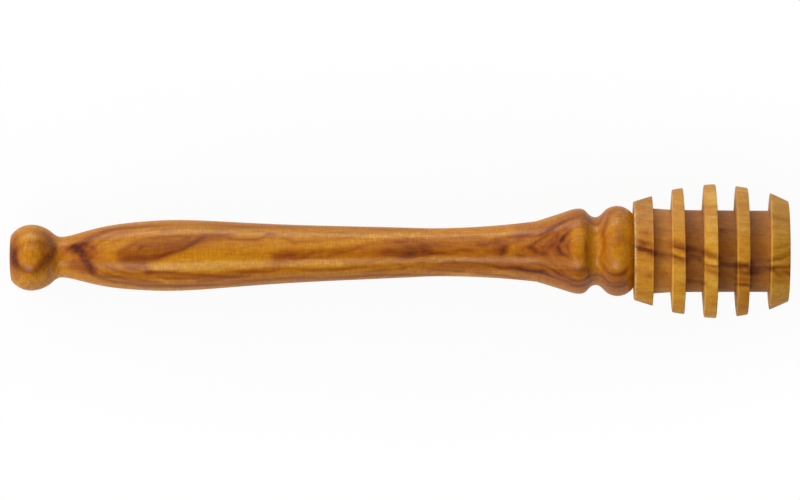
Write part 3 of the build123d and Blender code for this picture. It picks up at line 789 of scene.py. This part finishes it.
HEAD_AREAS = (
    (-.06, -.3, .3, ((128.2, 2.4), (132.3, 2), (132.3, .2), (128.2, 1))),
    (-.05, -.1, .6, ((128.2, 10.2), (132.3, 11.4), (132.3, 5.6), (128.2, 5.4))),
    (.04, .2, .5, ((128.2, -2.6), (132.3, -2.9), (132.3, -11.3), (128.2, -10.1))),
    (-.07, -.3, .35, ((135.8, 13.2), (138.8, 13.2), (138.8, 12.3), (135.8, 11.7))),
    (.03, .3, .5, ((135.8, -2.5), (138.8, -3), (138.8, -10.6), (135.8, -9.6))),
    (-.08, -.3, .3, ((142.2, 13.8), (145.5, 13.8), (145.5, 13), (142.2, 12.7))),
    (-.07, -.3, .4, ((142.6, -9.3), (145.3, -9), (145.3, -10.2), (142.6, -10.3))),
    (-.05, 0, .5, ((142.2, -10.6), (145.5, -10.6), (145.5, -13.8), (142.2, -13.8))),
    (-.07, -.6, .4, ((148.8, -2), (152, -1.9), (152, -7), (148.8, -6.8))),
    (-.08, -.2, .6, ((148.8, -8.6), (152, -9), (152, -13.4), (148.8, -13.4))),
    (-.03, -.7, .4, ((155.8, -3), (160.1, -2.9), (160.1, -5.6), (155.8, -5.8))),
    (.07, .1, .5, ((155.4, 11), (160.4, 11), (160.4, -11), (155.4, -11))),
    (.06, -.4, .5, ((155.8, -5.8), (160.1, -5.6), (160.1, -8.6), (155.8, -8.9))),
    (-.03, .2, .5, ((152, 8.4), (155.9, 8.4), (155.9, 4.6), (152, 4.9))),
    (.04, .4, .4, ((138.9, -6.9), (142.3, -7.2), (142.3, -8.5), (138.9, -8.5))),
    (.04, .8, .4, ((145.6, -3.4), (148.9, -3.6), (148.9, -4.2), (145.6, -3.9))),
    (-.04, -.1, .4, ((148.8, 14), (152, 14), (152, -14), (148.8, -14))),
    (.06, .3, .5, ((132.3, 9), (135.8, 9), (135.8, -9), (132.3, -9))),
    (.07, .3, .4, ((142.4, 12.2), (145.4, 12.4), (145.2, 9.6), (142.8, 10.2))),
    (.05, .2, .3, ((136, -4), (138.8, -4.8), (138.7, -7), (136.2, -6.4))),
    (.06, .2, .25, ((142.6, -4.7), (144.6, -5.2), (144.8, -7.6), (142.5, -7))),
    (-.02, -.2, .5, ((128, 5), (132.3, 5), (132.3, -1.2), (128, -1))),
    (-.03, 0, .5, ((135.8, 9), (145.5, 9), (145.5, -9), (135.8, -9))),
)
# How much red light the head's wood gives back by the distance from its axis, less deeper down: painted
# shade in the grooves
GROOVE_SHADE_BY_RADIUS = (
    (8.3, .42), (8.9, .45), (10.2, .45), (11.3, .47), (12.3, .52), (13.1, .55), (13.75, .61),
)
# How much painted light brightens a rim's flank towards the knob, where the lamps give less light than on
# the rims' tops, by the distance from the axis
FLANK_PAINTED_LIGHT = ((8.5, 0), (9.1, .75), (10.8, .85), (12, .7), (13.8, .6))

# The heights of two layers, by place along the axis: one above the axis and one below it
UPPER_LAYER = (
    (0, 4.75), (12.5, 4.5), (17.7, 3.9), (24, 3.45), (39, 3.1), (51, 2), (80, 2.4), (90.6, 4.35),
    (102, 4.85), (111.5, 5.4), (120, 4.6), (129, 4),
)
LOWER_LAYER = (
    (0, 5.2), (10, 3.8), (16, 4.3), (24, 5.2), (34, 5.9), (46, 4.6), (60, 4.4), (76, 4.7),
    (88, 3.6), (98, 4.1), (108, 5.6), (117, 7.2), (121, 6.3), (125, 7.6), (129, 6),
)
# Over what stretch along the axis their heights are averaged, and the radius of the tree's rings
LAYER_OFFSETS = np.linspace(-1.5, 1.5, 9)
RING_RADIUS = 90.0
# What share of a stretch each cut takes off a course's corners, and how often they are cut
CORNER_CUT, CUT_ROUNDS = 0.25, 2
# How much wider the veins are than drawn, and how dark they can get where they lie over each other
HANDLE_WIDENED, KNOB_WIDENED, HEAD_WIDENED = 1.35, 1.8, 1.45
KNOB_DARKER = 1.3
HANDLE_DARKEST, HEAD_DARKEST = 0.21, 0.24
# How far from a vein it still counts, and how many times its softness from an area, and a distance
# that is further than all others
VEIN_REACH, AREA_REACH, FAR = 1.6, 3, 9.0
# How far drawn edges stray and over what lengths, from how many waves, and how quickly these
# follow each other along, across and up
STRAY, STRAY_LENGTHS, STRAY_WAVES = 0.05, (1.5, 0.8, 0.6, 0.35), 30
STRAY_PACE = (0.6, 2, 2)
# The handle's drawn grain ends this softly at the sides, and the lower side has noise alone
TOP_EDGE = 0.4
# How far the head's drawn grain shifts sideways from the top down, and how slowly that changes
LAYER_SWAY, SWAY_LENGTH = 0.03, 9
# How widely and how strongly rims are worn pale at the seam and at the grooves' near edges, and
# how much darker they are at the far edges
SEAM_WEAR, GROOVE_WEAR, DARK_EDGE = (0.36, 1.2), (0.22, 0.35), (0.35, 0.06)
# How thick the band of painted light is on a flank, and how far from the rim's edge it starts
FLANK_LIGHT_DEPTH, FLANK_LIGHT_START = 0.3, 0.5
# The grooves' floors lie within this radius, with this soft an edge
FLOOR_RADIUS, FLOOR_EDGE = 9.3, 0.3


def drawn(course):
    """A course with the numbers that its points leave out, and with its corners cut off."""
    rows = [course[0]]
    for point in course[1:]:
        rows.append((*point, *rows[-1][len(point):]))
    course = np.array(rows, float)
    for _ in range(CUT_ROUNDS):
        low, high = course[:-1], course[1:]
        after_low = (1 - CORNER_CUT) * low + CORNER_CUT * high
        before_high = CORNER_CUT * low + (1 - CORNER_CUT) * high
        cut = np.stack([after_low, before_high], 1)
        course = np.concatenate([course[:1], cut.reshape(-1, course.shape[1]), course[-1:]])
    return course


def to_stretch(spots, start, end):
    """How far each spot is from the stretch from start to end, and how far along it that is."""
    run = end[:2] - start[:2]
    share = np.clip((spots - start[:2]) @ run / (run @ run), 0, 1)
    return np.linalg.norm(spots - start[:2] - share[:, None] * run, axis=1), share


def near_box(spots, corners, reach):
    """Which spots lie within reach of the box round some corners."""
    low, high = corners[:, :2].min(0) - reach, corners[:, :2].max(0) + reach
    return np.nonzero(((spots > low) & (spots < high)).all(1))[0]


def rising(distance, softness):
    """0 well below 0 and 1 well above it, with a soft step between."""
    return 0.5 + 0.5 * np.tanh(distance / softness)


def veined(spots, veins, widened):
    """How much darker the veins make each spot."""
    total = np.zeros(len(spots))
    for vein in veins:
        course = drawn(vein)
        chosen = near_box(spots, course, VEIN_REACH)
        nearest, dark = np.full(len(chosen), FAR), np.zeros(len(chosen))
        for start, end in zip(course, course[1:]):
            gap, share = to_stretch(spots[chosen], start, end)
            width = widened * (start[3] + share * (end[3] - start[3]))
            closer = gap / width < nearest
            nearest = np.where(closer, gap / width, nearest)
            dark = np.where(closer, start[2] + share * (end[2] - start[2]), dark)
        total[chosen] += bell(nearest, 1, dark)
    return total


def shaded(spots, areas):
    """How much lighter or darker, and how much greener or redder, the areas make each spot."""
    tone, hue = np.zeros(len(spots)), np.zeros(len(spots))
    for lighter, greener, softness, outline in areas:
        corners = np.array(outline, float)
        chosen = near_box(spots, corners, AREA_REACH * softness)
        along, across = spots[chosen].T
        nearest, inside = np.full(len(chosen), FAR), np.zeros(len(chosen), bool)
        for start, end in zip(corners, np.roll(corners, -1, axis=0)):
            nearest = np.minimum(nearest, to_stretch(spots[chosen], start, end)[0])
            spans = (start[1] > across) != (end[1] > across)
            rise = end[1] - start[1] + TINY
            inside ^= spans & (along < start[0] + (across - start[1]) / rise * (end[0] - start[0]))
        share = rising(np.where(inside, nearest, -nearest), softness)
        tone[chosen] += lighter * share
        hue[chosen] += greener * share
    return tone, hue


def wander(place, length):
    """Seeded smooth noise from about -1 to 1, some length long across the grain, longer along."""
    pace = rng.normal(0, 1, (STRAY_WAVES, 3)) * np.array(STRAY_PACE) / length
    phase = rng.uniform(0, 2 * math.pi, STRAY_WAVES)
    return np.sin(place @ pace.T + phase).sum(1) / math.sqrt(STRAY_WAVES)


def layer_height(rows, along):
    """A smooth curve through a layer's heights, at each place along."""
    heights = [looked_up(along + offset, rows) for offset in LAYER_OFFSETS]
    return sum(heights) / len(heights)


def places(mesh):
    """Where each vertex is: along, across and up in millimetres."""
    place = np.zeros(len(mesh.vertices) * 3, np.float32)
    mesh.attributes["place"].data.foreach_get("vector", place)
    return place.reshape(-1, 3).astype(float)


def limited(total, most):
    """A total that levels off, so that veins which lie over each other don't turn black."""
    return most * np.tanh(total / most)


def strayed(place):
    """The places along and across, moved a little to and fro so that drawn edges run unevenly."""
    first, second, third, fourth = (wander(place, length) for length in STRAY_LENGTHS)
    slow, quick = np.stack([first, second], 1), np.stack([third, fourth], 1)
    return place[:, :2] + STRAY * slow + STRAY * quick


def lay_handle_grain(mesh):
    """Writes what the veins, the areas and the layers are at each place of the handle's surface."""
    place = places(mesh)
    along, across, up = place.T
    spots = strayed(place) - np.array([DRAWING_START, 0])
    top = rising(up, TOP_EDGE)
    tone, hue = shaded(spots, AREAS)
    veins = veined(spots, VEINS, HANDLE_WIDENED)
    veins = limited(veins + KNOB_DARKER * veined(spots, KNOB_VEINS, KNOB_WIDENED), HANDLE_DARKEST)
    height = up - across ** 2 / (2 * RING_RADIUS)
    upper = height - layer_height(UPPER_LAYER, along)
    lower = -height - layer_height(LOWER_LAYER, along)
    keep(mesh, "marks", (veins * top, tone * top, hue * top))
    keep(mesh, "layers", (upper, lower, np.zeros_like(upper)))


def lay_head_grain(mesh):
    """The same for the head, with where its rims are worn pale along their edges, where painted light
    brightens their flanks towards the knob, and where painted shade darkens it deeper in the grooves.
    """
    place = places(mesh)
    along, across, up = place.T
    out = np.hypot(across, up)
    spots = strayed(place)
    spots[:, 1] += LAYER_SWAY * (up - out) * np.sin(along / SWAY_LENGTH)
    tone, hue = shaded(spots, HEAD_AREAS)
    # Painted shade: the tone falls towards the groove floors, where shade lies
    groove_shade_tone = looked_up(out, GROOVE_SHADE_BY_RADIUS)

    def gap_to(corner):
        return np.hypot(along - corner[0], out - corner[1])

    worn, flank = bell(gap_to(START_CORNER), *SEAM_WEAR), np.zeros(len(place))
    for groove in GROOVES:
        left, _, _, right = groove_corners(*groove)
        worn = np.maximum(worn, bell(gap_to(left), *GROOVE_WEAR))
        groove_shade_tone -= bell(gap_to(right), *DARK_EDGE)
        # Painted light: each rim's flank towards the knob is painted paler, in place of the light it
        # lacks beside the rim's top
        from_flank = along - right[0] + (right[1] - out) * FLANK_SPREAD
        torn_fibres_and_flank_light = bell(from_flank, FLANK_LIGHT_DEPTH) * (1 - bell(gap_to(right), FLANK_LIGHT_START))
        flank += torn_fibres_and_flank_light * looked_up(out, FLANK_PAINTED_LIGHT)
    veins = limited(veined(spots, HEAD_VEINS, HEAD_WIDENED), HEAD_DARKEST)
    keep(mesh, "marks", (veins, tone, hue))
    keep(mesh, "layers", (groove_shade_tone, worn, rising(FLOOR_RADIUS - out, FLOOR_EDGE)))
    keep(mesh, "flank", (flank, flank, flank))


lay_handle_grain(handle_piece.data)
lay_head_grain(head_piece.data)


# Materials

# How far one seed moves the noise and the stripes, and how much they are drawn apart
NOISE_STEPS, STRIPE_STEP, NOISE_GAIN = (7.3, 3.1, 5.7), 11.7, 2.6
# How much a hue of 1 raises the green
GREENER = 0.14


class Field:
    """A number that varies over a surface. Sums and products of fields are made of Math nodes."""

    def __init__(self, graph, socket):
        self.graph, self.socket = graph, socket

    def __add__(self, other):
        return self.graph.math("ADD", self, other)

    def __sub__(self, other):
        return self.graph.math("SUBTRACT", self, other)

    def __mul__(self, other):
        return self.graph.math("MULTIPLY", self, other)

    __radd__, __rmul__ = __add__, __mul__

    def stepped(self, low, high, to_low, to_high):
        """Runs smoothly from to_low where it is low to to_high where it is high."""
        node = self.graph.node(
            "ShaderNodeMapRange", {0: self, 1: low, 2: high, 3: to_low, 4: to_high},
            interpolation_type="SMOOTHSTEP",
        )
        return Field(self.graph, node.outputs[0])

    def near(self, reach):
        """1 where it is 0, falling smoothly to 0 at reach on both sides."""
        return self.graph.math("ABSOLUTE", self).stepped(0.0, reach, 1.0, 0.0)


class Graph:
    """The nodes of one material or world."""

    def __init__(self, owner):
        self.owner = owner
        owner.use_nodes = True
        self.tree = owner.node_tree
        self.tree.nodes.clear()

    def node(self, kind, inputs=None, **settings):
        node = self.tree.nodes.new(kind)
        for name, value in settings.items():
            setattr(node, name, value)
        for key, value in (inputs or {}).items():
            value = value.socket if isinstance(value, Field) else value
            if isinstance(value, bpy.types.NodeSocket):
                self.tree.links.new(value, node.inputs[key])
            else:
                node.inputs[key].default_value = value
        return node

    def math(self, operation, *values):
        node = self.node("ShaderNodeMath", dict(enumerate(values)), operation=operation)
        return Field(self, node.outputs[0])

    def paired(self, operation, vector, other):
        """Two vectors or colours added or multiplied, number by number."""
        node = self.node("ShaderNodeVectorMath", {0: vector, 1: other}, operation=operation)
        return node.outputs[0]

    def attribute(self, name):
        return self.node("ShaderNodeAttribute", attribute_name=name).outputs["Vector"]

    def parts(self, vector):
        node = self.node("ShaderNodeSeparateXYZ", {0: vector})
        return [Field(self, socket) for socket in node.outputs]

    def rays(self):
        """1 for rays from the camera, and 1 for glossy and for transmitted rays."""
        rays = self.node("ShaderNodeLightPath").outputs
        names = ("Is Camera Ray", "Is Glossy Ray", "Is Transmission Ray")
        camera, glossy, transmitted = (Field(self, rays[name]) for name in names)
        return camera, glossy + transmitted

    def noise(self, place, lengths, seed, detail=2.0):
        """Noise from about -1 to 1, lengths long in each direction, in millimetres."""
        scaled = self.paired("MULTIPLY", place, tuple(1 / length for length in lengths))
        shifted = self.paired("ADD", scaled, tuple(seed * step for step in NOISE_STEPS))
        inputs = {"Vector": shifted, "Scale": 1.0, "Detail": detail}
        node = self.node("ShaderNodeTexNoise", inputs)
        return (Field(self, node.outputs[0]) - 0.5) * NOISE_GAIN

    def stripes(self, number, length, seed, detail=2.0):
        """Noise from about -1 to 1 that varies with one number only."""
        inputs = {"W": number * (1 / length) + seed * STRIPE_STEP, "Scale": 1.0, "Detail": detail}
        node = self.node("ShaderNodeTexNoise", inputs, noise_dimensions="1D")
        return (Field(self, node.outputs[0]) - 0.5) * NOISE_GAIN

    def ramp(self, number, stops, interpolation="LINEAR"):
        """A colour for each number from 0 to 1."""
        node = self.node("ShaderNodeValToRGB", {0: number})
        band = node.color_ramp
        band.interpolation = interpolation
        while len(band.elements) < len(stops):
            band.elements.new(0.5)
        for element, (at, colour) in zip(band.elements, stops):
            element.position, element.color = at, colour
        return node.outputs[0]

    def wood(self, tone, tones):
        """The colour of wood that gives back as much red light as the tone says."""
        stops = [(red / BRIGHTEST, colour) for red, colour in tones]
        return self.ramp(self.math("MAXIMUM", tone * (1 / BRIGHTEST), 0.0), stops)

    def greener(self, colour, amount):
        """A colour with its green raised where the amount is above 0, and lowered below."""
        factor = self.node("ShaderNodeCombineXYZ", {0: 1.0, 1: amount * GREENER + 1.0, 2: 1.0})
        return self.paired("MULTIPLY", colour, factor.outputs[0])

    def mixed(self, share, low, high):
        """One colour where the share is 0 and the other where it is 1."""
        node = self.node("ShaderNodeMix", {0: share, 6: low, 7: high}, data_type="RGBA")
        return node.outputs[2]

    def bump(self, height, depth):
        """The surface's direction on relief of some depth in millimetres."""
        inputs = {"Height": height, "Distance": depth * MM, "Strength": 1.0}
        return self.node("ShaderNodeBump", inputs).outputs[0]

    def principled(self, **inputs):
        named = {key.replace("_", " "): value for key, value in inputs.items()}
        shader = self.node("ShaderNodeBsdfPrincipled", named)
        end = self.node("ShaderNodeOutputMaterial", {"Surface": shader.outputs[0]})
        end.is_active_output = True
        return self.owner


# The wood's colours from darkest to lightest, each at the tone that stands for it, which is how
# much red light it gives back, and the brightest tone of all
BRIGHTEST = 0.92
HANDLE_TONES = (
    (0.07, srgb(70, 30, 12)),
    (0.12, srgb(92, 42, 12)),
    (0.18, srgb(118, 58, 10)),
    (0.25, srgb(137, 72, 8)),
    (0.32, srgb(153, 86, 8)),
    (0.40, srgb(170, 101, 9)),
    (0.48, srgb(184, 115, 12)),
    (0.56, srgb(197, 129, 18)),
    (0.65, srgb(211, 150, 34)),
)
HEAD_TONES = (
    (0.10, srgb(88, 40, 10)),
    (0.18, srgb(118, 62, 14)),
    (0.26, srgb(139, 79, 18)),
    (0.38, srgb(166, 106, 24)),
    (0.49, srgb(186, 123, 28)),
    (0.58, srgb(200, 141, 42)),
    (0.65, srgb(211, 156, 60)),
    (0.92, srgb(246, 186, 88)),
)


# Dark bands among the layers of the handle's lower half: how far each is from the lower layer, how
# strongly it sways, half its width and how dark it is
UNDER_BANDS = ((0.0, 1.0, 0.5, 0.6), (-0.9, 1.0, 0.3, 0.35), (1.6, 2.0, 0.9, 0.3))
# The tone of the handle's wood before its patterns
HANDLE_TONE = 0.452
# Soft steps, each with the numbers between which it runs and the values there: the wood under the
# upper layer, the knob's coarser wood, groove floors from left to right, rims along the head, and
# the painted sheen on the head's left side, a pale colour that stands in for reflected light
UPPER_STEP = (-3.0, -1.0, 0.05, 0.0)
COARSE_STEP = (7.0, 11.0, 0.32, 0.18)
FLOOR_STEP = (-2.0, 6.0, 0.02, -0.02)
RIM_STEP = (129.0, 159.0, -0.028, 0.028)
SHEEN_PAINT_STEP = (0.0, 8.0, 0.0, 0.09)
# How deep the fine relief is in millimetres: the handle's wood and its coat, the head and the glue
HANDLE_RELIEF, COAT_RELIEF, HEAD_RELIEF, GLUE_RELIEF = 0.012, 0.010, 0.02, 0.03
# How the head's layers run: how they slant along it and how they bend round the tree's middle
LAYER_SLANT, LAYER_BEND = 0.124, 0.008
# The colour of the rims' worn edges, and the pale colour of the painted sheen
WORN_COLOUR, SHEEN_PAINT_COLOUR = srgb(224, 182, 118), srgb(206, 180, 158)
GLUE_TONES = ((0.0, srgb(160, 118, 54)), (1.0, srgb(206, 168, 96)))


def handle_wood():
    """Olive wood under a clear coat. The tone is built up from the drawn areas and veins, some areas of
    which are painted light and shade, from noise and stripes between broad and fine, and from the lines
    of the turning."""
    graph = Graph(bpy.data.materials.new("lacquered_olive_wood"))
    place = graph.attribute("place")
    along = graph.parts(place)[0]
    upper, lower, _ = graph.parts(graph.attribute("layers"))
    veins, areas, hue = graph.parts(graph.attribute("marks"))
    sway = graph.noise(place, (14, 3, 3), seed=1) * 0.10
    patchy = graph.noise(place, (16, 2.2, 2.2), seed=3)
    dapple = graph.noise(place, (2.2, 0.5, 0.5), seed=2)
    broad = graph.stripes(upper + sway, 1.5, seed=1)
    narrow = graph.stripes(upper + sway, 0.45, seed=2)
    fibres = graph.noise(place, (3.5, 0.2, 0.2), detail=3.0, seed=4)
    turning = graph.stripes(along + fibres * 0.04, 0.30, detail=2.5, seed=3)
    threads = graph.noise(place, (0.32, 1.5, 1.5), seed=11)
    under = sum(
        (lower + offset + sway * strength).near(half) * dark
        for offset, strength, half, dark in UNDER_BANDS
    )

    tone = areas + patchy * 0.05 + broad * 0.035 + narrow * 0.04 + fibres * 0.06 + HANDLE_TONE
    tone = tone + dapple * 0.08 + upper.stepped(*UPPER_STEP)
    tone = tone - veins * (dapple * 0.9 + threads * 0.4 + fibres * 0.2 + 1.2) - under * 0.25
    tone = tone * (threads * along.stepped(*COARSE_STEP) + turning * 0.05 + 1.0)
    colour = graph.greener(graph.wood(tone, HANDLE_TONES), hue + patchy * 0.4)

    relief = graph.bump(fibres * 0.5 + turning * 0.5, HANDLE_RELIEF)
    dip = graph.noise(place, (3, 1.5, 1.5), seed=5)
    film = graph.bump(turning * 0.4 + dip, COAT_RELIEF)
    return graph.principled(
        Base_Color=colour, Roughness=0.55, Normal=relief, Specular_IOR_Level=0.05,
        Coat_Weight=0.23, Coat_Roughness=0.25, Coat_IOR=2.0, Coat_Normal=film,
    )


def head_wood():
    """The same wood with a thin dull finish, with painted shade deeper in the grooves, painted light on
    the rims' flanks towards the knob, a painted sheen on the side left of the axis, and worn and frayed
    edges.
    """
    graph = Graph(bpy.data.materials.new("bare_olive_wood"))
    place = graph.attribute("place")
    along, across, up = graph.parts(place)
    veins, areas, hue = graph.parts(graph.attribute("marks"))
    groove_shade_tone, worn, floor = graph.parts(graph.attribute("layers"))
    flank = graph.parts(graph.attribute("flank"))[0]
    slow = graph.noise(place, (14, 3, 9), seed=6)
    layer = across + (along - HEAD_START) * LAYER_SLANT + slow * 0.25 + up * up * LAYER_BEND
    patchy = graph.noise(place, (7, 1.4, 5), seed=7)
    dapple = graph.noise(place, (1.5, 0.7, 1.2), detail=3.0, seed=8)
    broad = graph.stripes(layer, 1.4, seed=5)
    narrow = graph.stripes(layer, 0.35, seed=6)
    fibres = graph.noise(place, (2.6, 0.12, 0.4), detail=3.0, seed=8)
    turning = graph.stripes(along + fibres * 0.05, 0.3, detail=2.5, seed=7)
    torn_fibres_and_flank_light = graph.noise(place, (0.35, 0.25, 0.25), seed=10)
    threads = graph.noise(place, (0.3, 1.4, 1.4), seed=12)

    tone = groove_shade_tone + areas + patchy * 0.06 + dapple * 0.09 + broad * 0.05 + narrow * 0.05
    # The flank attribute is painted light on the rims' flanks towards the knob
    tone = tone + fibres * 0.05 + threads * 0.04 + torn_fibres_and_flank_light * 0.035 + flank * 0.34
    tone = tone + floor * across.stepped(*FLOOR_STEP)
    tone = tone + (floor * -1.0 + 1.0) * along.stepped(*RIM_STEP)
    tone = tone - veins * (dapple * 0.8 + fibres * 0.4 + floor * -0.7 + 2.4)
    hue = hue * 0.6 + patchy * 0.4 - veins * 2.0 - floor * 0.2
    colour = graph.greener(graph.wood(tone, HEAD_TONES), hue)
    colour = graph.mixed(worn * (torn_fibres_and_flank_light * 1.1 + patchy * 0.3 + 0.40), colour, WORN_COLOUR)
    # Painted sheen: a pale colour mixed in on the side left of the axis and on the groove floors, in
    # place of reflected light
    painted_sheen = across.stepped(*SHEEN_PAINT_STEP) + floor * 0.05
    colour = graph.mixed(painted_sheen, colour, SHEEN_PAINT_COLOUR)
    relief = graph.bump(fibres + turning * 0.5 + torn_fibres_and_flank_light * (floor + 0.2) * 0.6, HEAD_RELIEF)
    return graph.principled(
        Base_Color=colour, Roughness=0.6, Normal=relief, Specular_IOR_Level=0.05,
        Coat_Weight=0.13, Coat_Roughness=0.4, Coat_IOR=1.6,
    )


def dried_glue():
    graph = Graph(bpy.data.materials.new("cured_wood_glue"))
    mottle = graph.noise(graph.attribute("place"), (0.8, 0.8, 0.8), detail=3.0, seed=9)
    colour = graph.ramp(mottle * 0.5 + 0.5, GLUE_TONES, "EASE")
    return graph.principled(Base_Color=colour, Roughness=0.42, Normal=graph.bump(mottle, GLUE_RELIEF))


# The stage, in metres

WHITE = (1, 1, 1, 1)
FLOOR_SIZE, FLOOR_DROP, FLOOR_COLOUR = 8.0, 0.00005, (0.72, 0.72, 0.72, 1)
# How white the floor is to the camera close to the axis, and between what distances it gets white
WHITE_NEARBY, NEARBY, WHITE_FROM = 0.94, 0.02, 0.05
# How much shorter distances along the object count there
NEARBY_SCALE = (1 / 3, 1, 1)
# The sky's even light, and between what heights the white backdrop at the horizon ends
SKY_LEVEL, BACKDROP_FULL, BACKDROP_END = 0.12, 0.08, 0.20


def floor_material():
    """Pale, and white to the camera but for a share of the object's shadow."""
    graph = Graph(bpy.data.materials.new("pale_floor"))
    where = graph.node("ShaderNodeTexCoord").outputs["Object"]
    nearby = graph.paired("MULTIPLY", where, NEARBY_SCALE)
    length = graph.node("ShaderNodeVectorMath", {0: nearby}, operation="LENGTH")
    distance = Field(graph, length.outputs["Value"])
    camera, bent = graph.rays()
    lit = (camera + bent) * distance.stepped(NEARBY, WHITE_FROM, WHITE_NEARBY, 1.0)
    matt = graph.node("ShaderNodeBsdfDiffuse", {"Color": FLOOR_COLOUR})
    plain = graph.node("ShaderNodeEmission", {"Color": WHITE, "Strength": 1.0})
    mixed = graph.node("ShaderNodeMixShader", {0: lit, 1: matt.outputs[0], 2: plain.outputs[0]})
    graph.node("ShaderNodeOutputMaterial", {"Surface": mixed.outputs[0]})
    return graph.owner


def stage_floor():
    bpy.ops.mesh.primitive_plane_add(size=FLOOR_SIZE, location=(0, 0, -FLOOR_DROP))
    floor = bpy.context.object
    floor.name = "floor"
    floor.data.materials.append(floor_material())


def sky():
    """An even grey light from all round. The camera sees it as white, and so do glossy and
    transmitted rays near the horizon, where a studio's pale backdrop stands."""
    world = bpy.data.worlds.new("studio")
    bpy.context.scene.world = world
    graph = Graph(world)
    height = graph.parts(graph.node("ShaderNodeTexCoord").outputs["Generated"])[2]
    ends = {0: height, 1: BACKDROP_FULL, 2: BACKDROP_END, 3: 1.0, 4: 0.0}
    band = Field(graph, graph.node("ShaderNodeMapRange", ends).outputs[0])
    camera, bent = graph.rays()
    white = graph.math("MAXIMUM", camera, bent * band)
    dim = graph.node("ShaderNodeBackground", {"Color": WHITE, "Strength": SKY_LEVEL})
    plain = graph.node("ShaderNodeBackground", {"Color": WHITE, "Strength": 1.0})
    mixed = graph.node("ShaderNodeMixShader", {0: white, 1: dim.outputs[0], 2: plain.outputs[0]})
    graph.node("ShaderNodeOutputWorld", {"Surface": mixed.outputs[0]})


# Each lamp's name, how far it is swung forward round the vertical, the span in degrees from
# straight up to the left of the axis or, below 0, to the right of it, its length, its radiance,
# how far it is shifted along that length, and whether the coat mirrors it
LAMPS = (
    ("key", 0, (-48.5, -25.5), 0.75, 2.9, -0.27, True),
    ("fill", 0, (24, 64), 0.9, 0.75, 0.0, True),
    ("side", 0, (71, 89.8), 0.8, 3.6, -0.2, True),
    ("left_back", -60, (36, 68), 1.2, 3.7, 0.0, False),
    ("left_front", -120, (38, 70), 1.2, 2.6, 0.0, False),
    ("right_back", 60, (38, 68), 1.2, 0.5, 0.0, False),
    ("right_front", 120, (38, 68), 1.2, 0.15, 0.0, False),
)
LAMP_DISTANCE = 1.2


def softbox(name, swing, span, length, radiance, shifted, mirrored):
    """A lamp that faces the object."""
    middle, half = math.radians(sum(span) / 2), math.radians((span[1] - span[0]) / 2)
    lamp = bpy.data.lights.new(name, "AREA")
    lamp.shape = "RECTANGLE"
    lamp.size, lamp.size_y = length, 2 * LAMP_DISTANCE * math.tan(half)
    lamp.energy = radiance * math.pi * lamp.size * lamp.size_y
    holder = bpy.data.objects.new(name, lamp)
    turn = Matrix.Rotation(-math.radians(swing), 4, "Z") @ Matrix.Rotation(-middle, 4, "X")
    holder.matrix_world = turn @ Matrix.Translation((shifted, 0, LAMP_DISTANCE))
    holder.visible_camera = False
    holder.visible_glossy = mirrored
    bpy.context.scene.collection.objects.link(holder)


# The camera's small angles, how far it is from the place on the axis that it looks at, and the lens
NOD, ROLL = math.radians(0.8), math.radians(0.486)
CAMERA_DISTANCE, CAMERA_TARGET = 1.142, (80.23, 0.79, 0.0)
SENSOR, LENS, CLIP_START, CLIP_END = 36.0, 250.0, 0.05, 50.0


def camera():
    """Overhead and square to the axis, but for the small angles of the photograph."""
    target = Vector(to_row(np.array([CAMERA_TARGET]), bent=False)[0])
    away = UP * math.cos(NOD) + AXIS * math.sin(NOD)
    along = (AXIS - away * AXIS.dot(away)).normalized()
    right = along * math.cos(ROLL) - ACROSS * math.sin(ROLL)
    lens = bpy.data.cameras.new("camera")
    lens.sensor_width, lens.lens = SENSOR, LENS
    lens.clip_start, lens.clip_end = CLIP_START, CLIP_END
    eye = bpy.data.objects.new("camera", lens)
    turn = Matrix((right, away.cross(right), away)).transposed().to_4x4()
    eye.matrix_world = Matrix.Translation(target + away * CAMERA_DISTANCE) @ turn
    bpy.context.scene.collection.objects.link(eye)
    bpy.context.scene.camera = eye


PIECES = (
    (handle_piece, "handle", "lacquered_wood", handle_wood()),
    (head_piece, "head", "bare_wood", head_wood()),
    (glue_piece, "glue", "cured_glue", dried_glue()),
)
for piece, node, slot, material in PIECES:
    piece.data.materials.append(material)
    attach(piece, "root")
    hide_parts(node)

stage_floor()
sky()
for lamp in LAMPS:
    softbox(*lamp)
camera()

bpy.context.scene.view_settings.view_transform = "Standard"
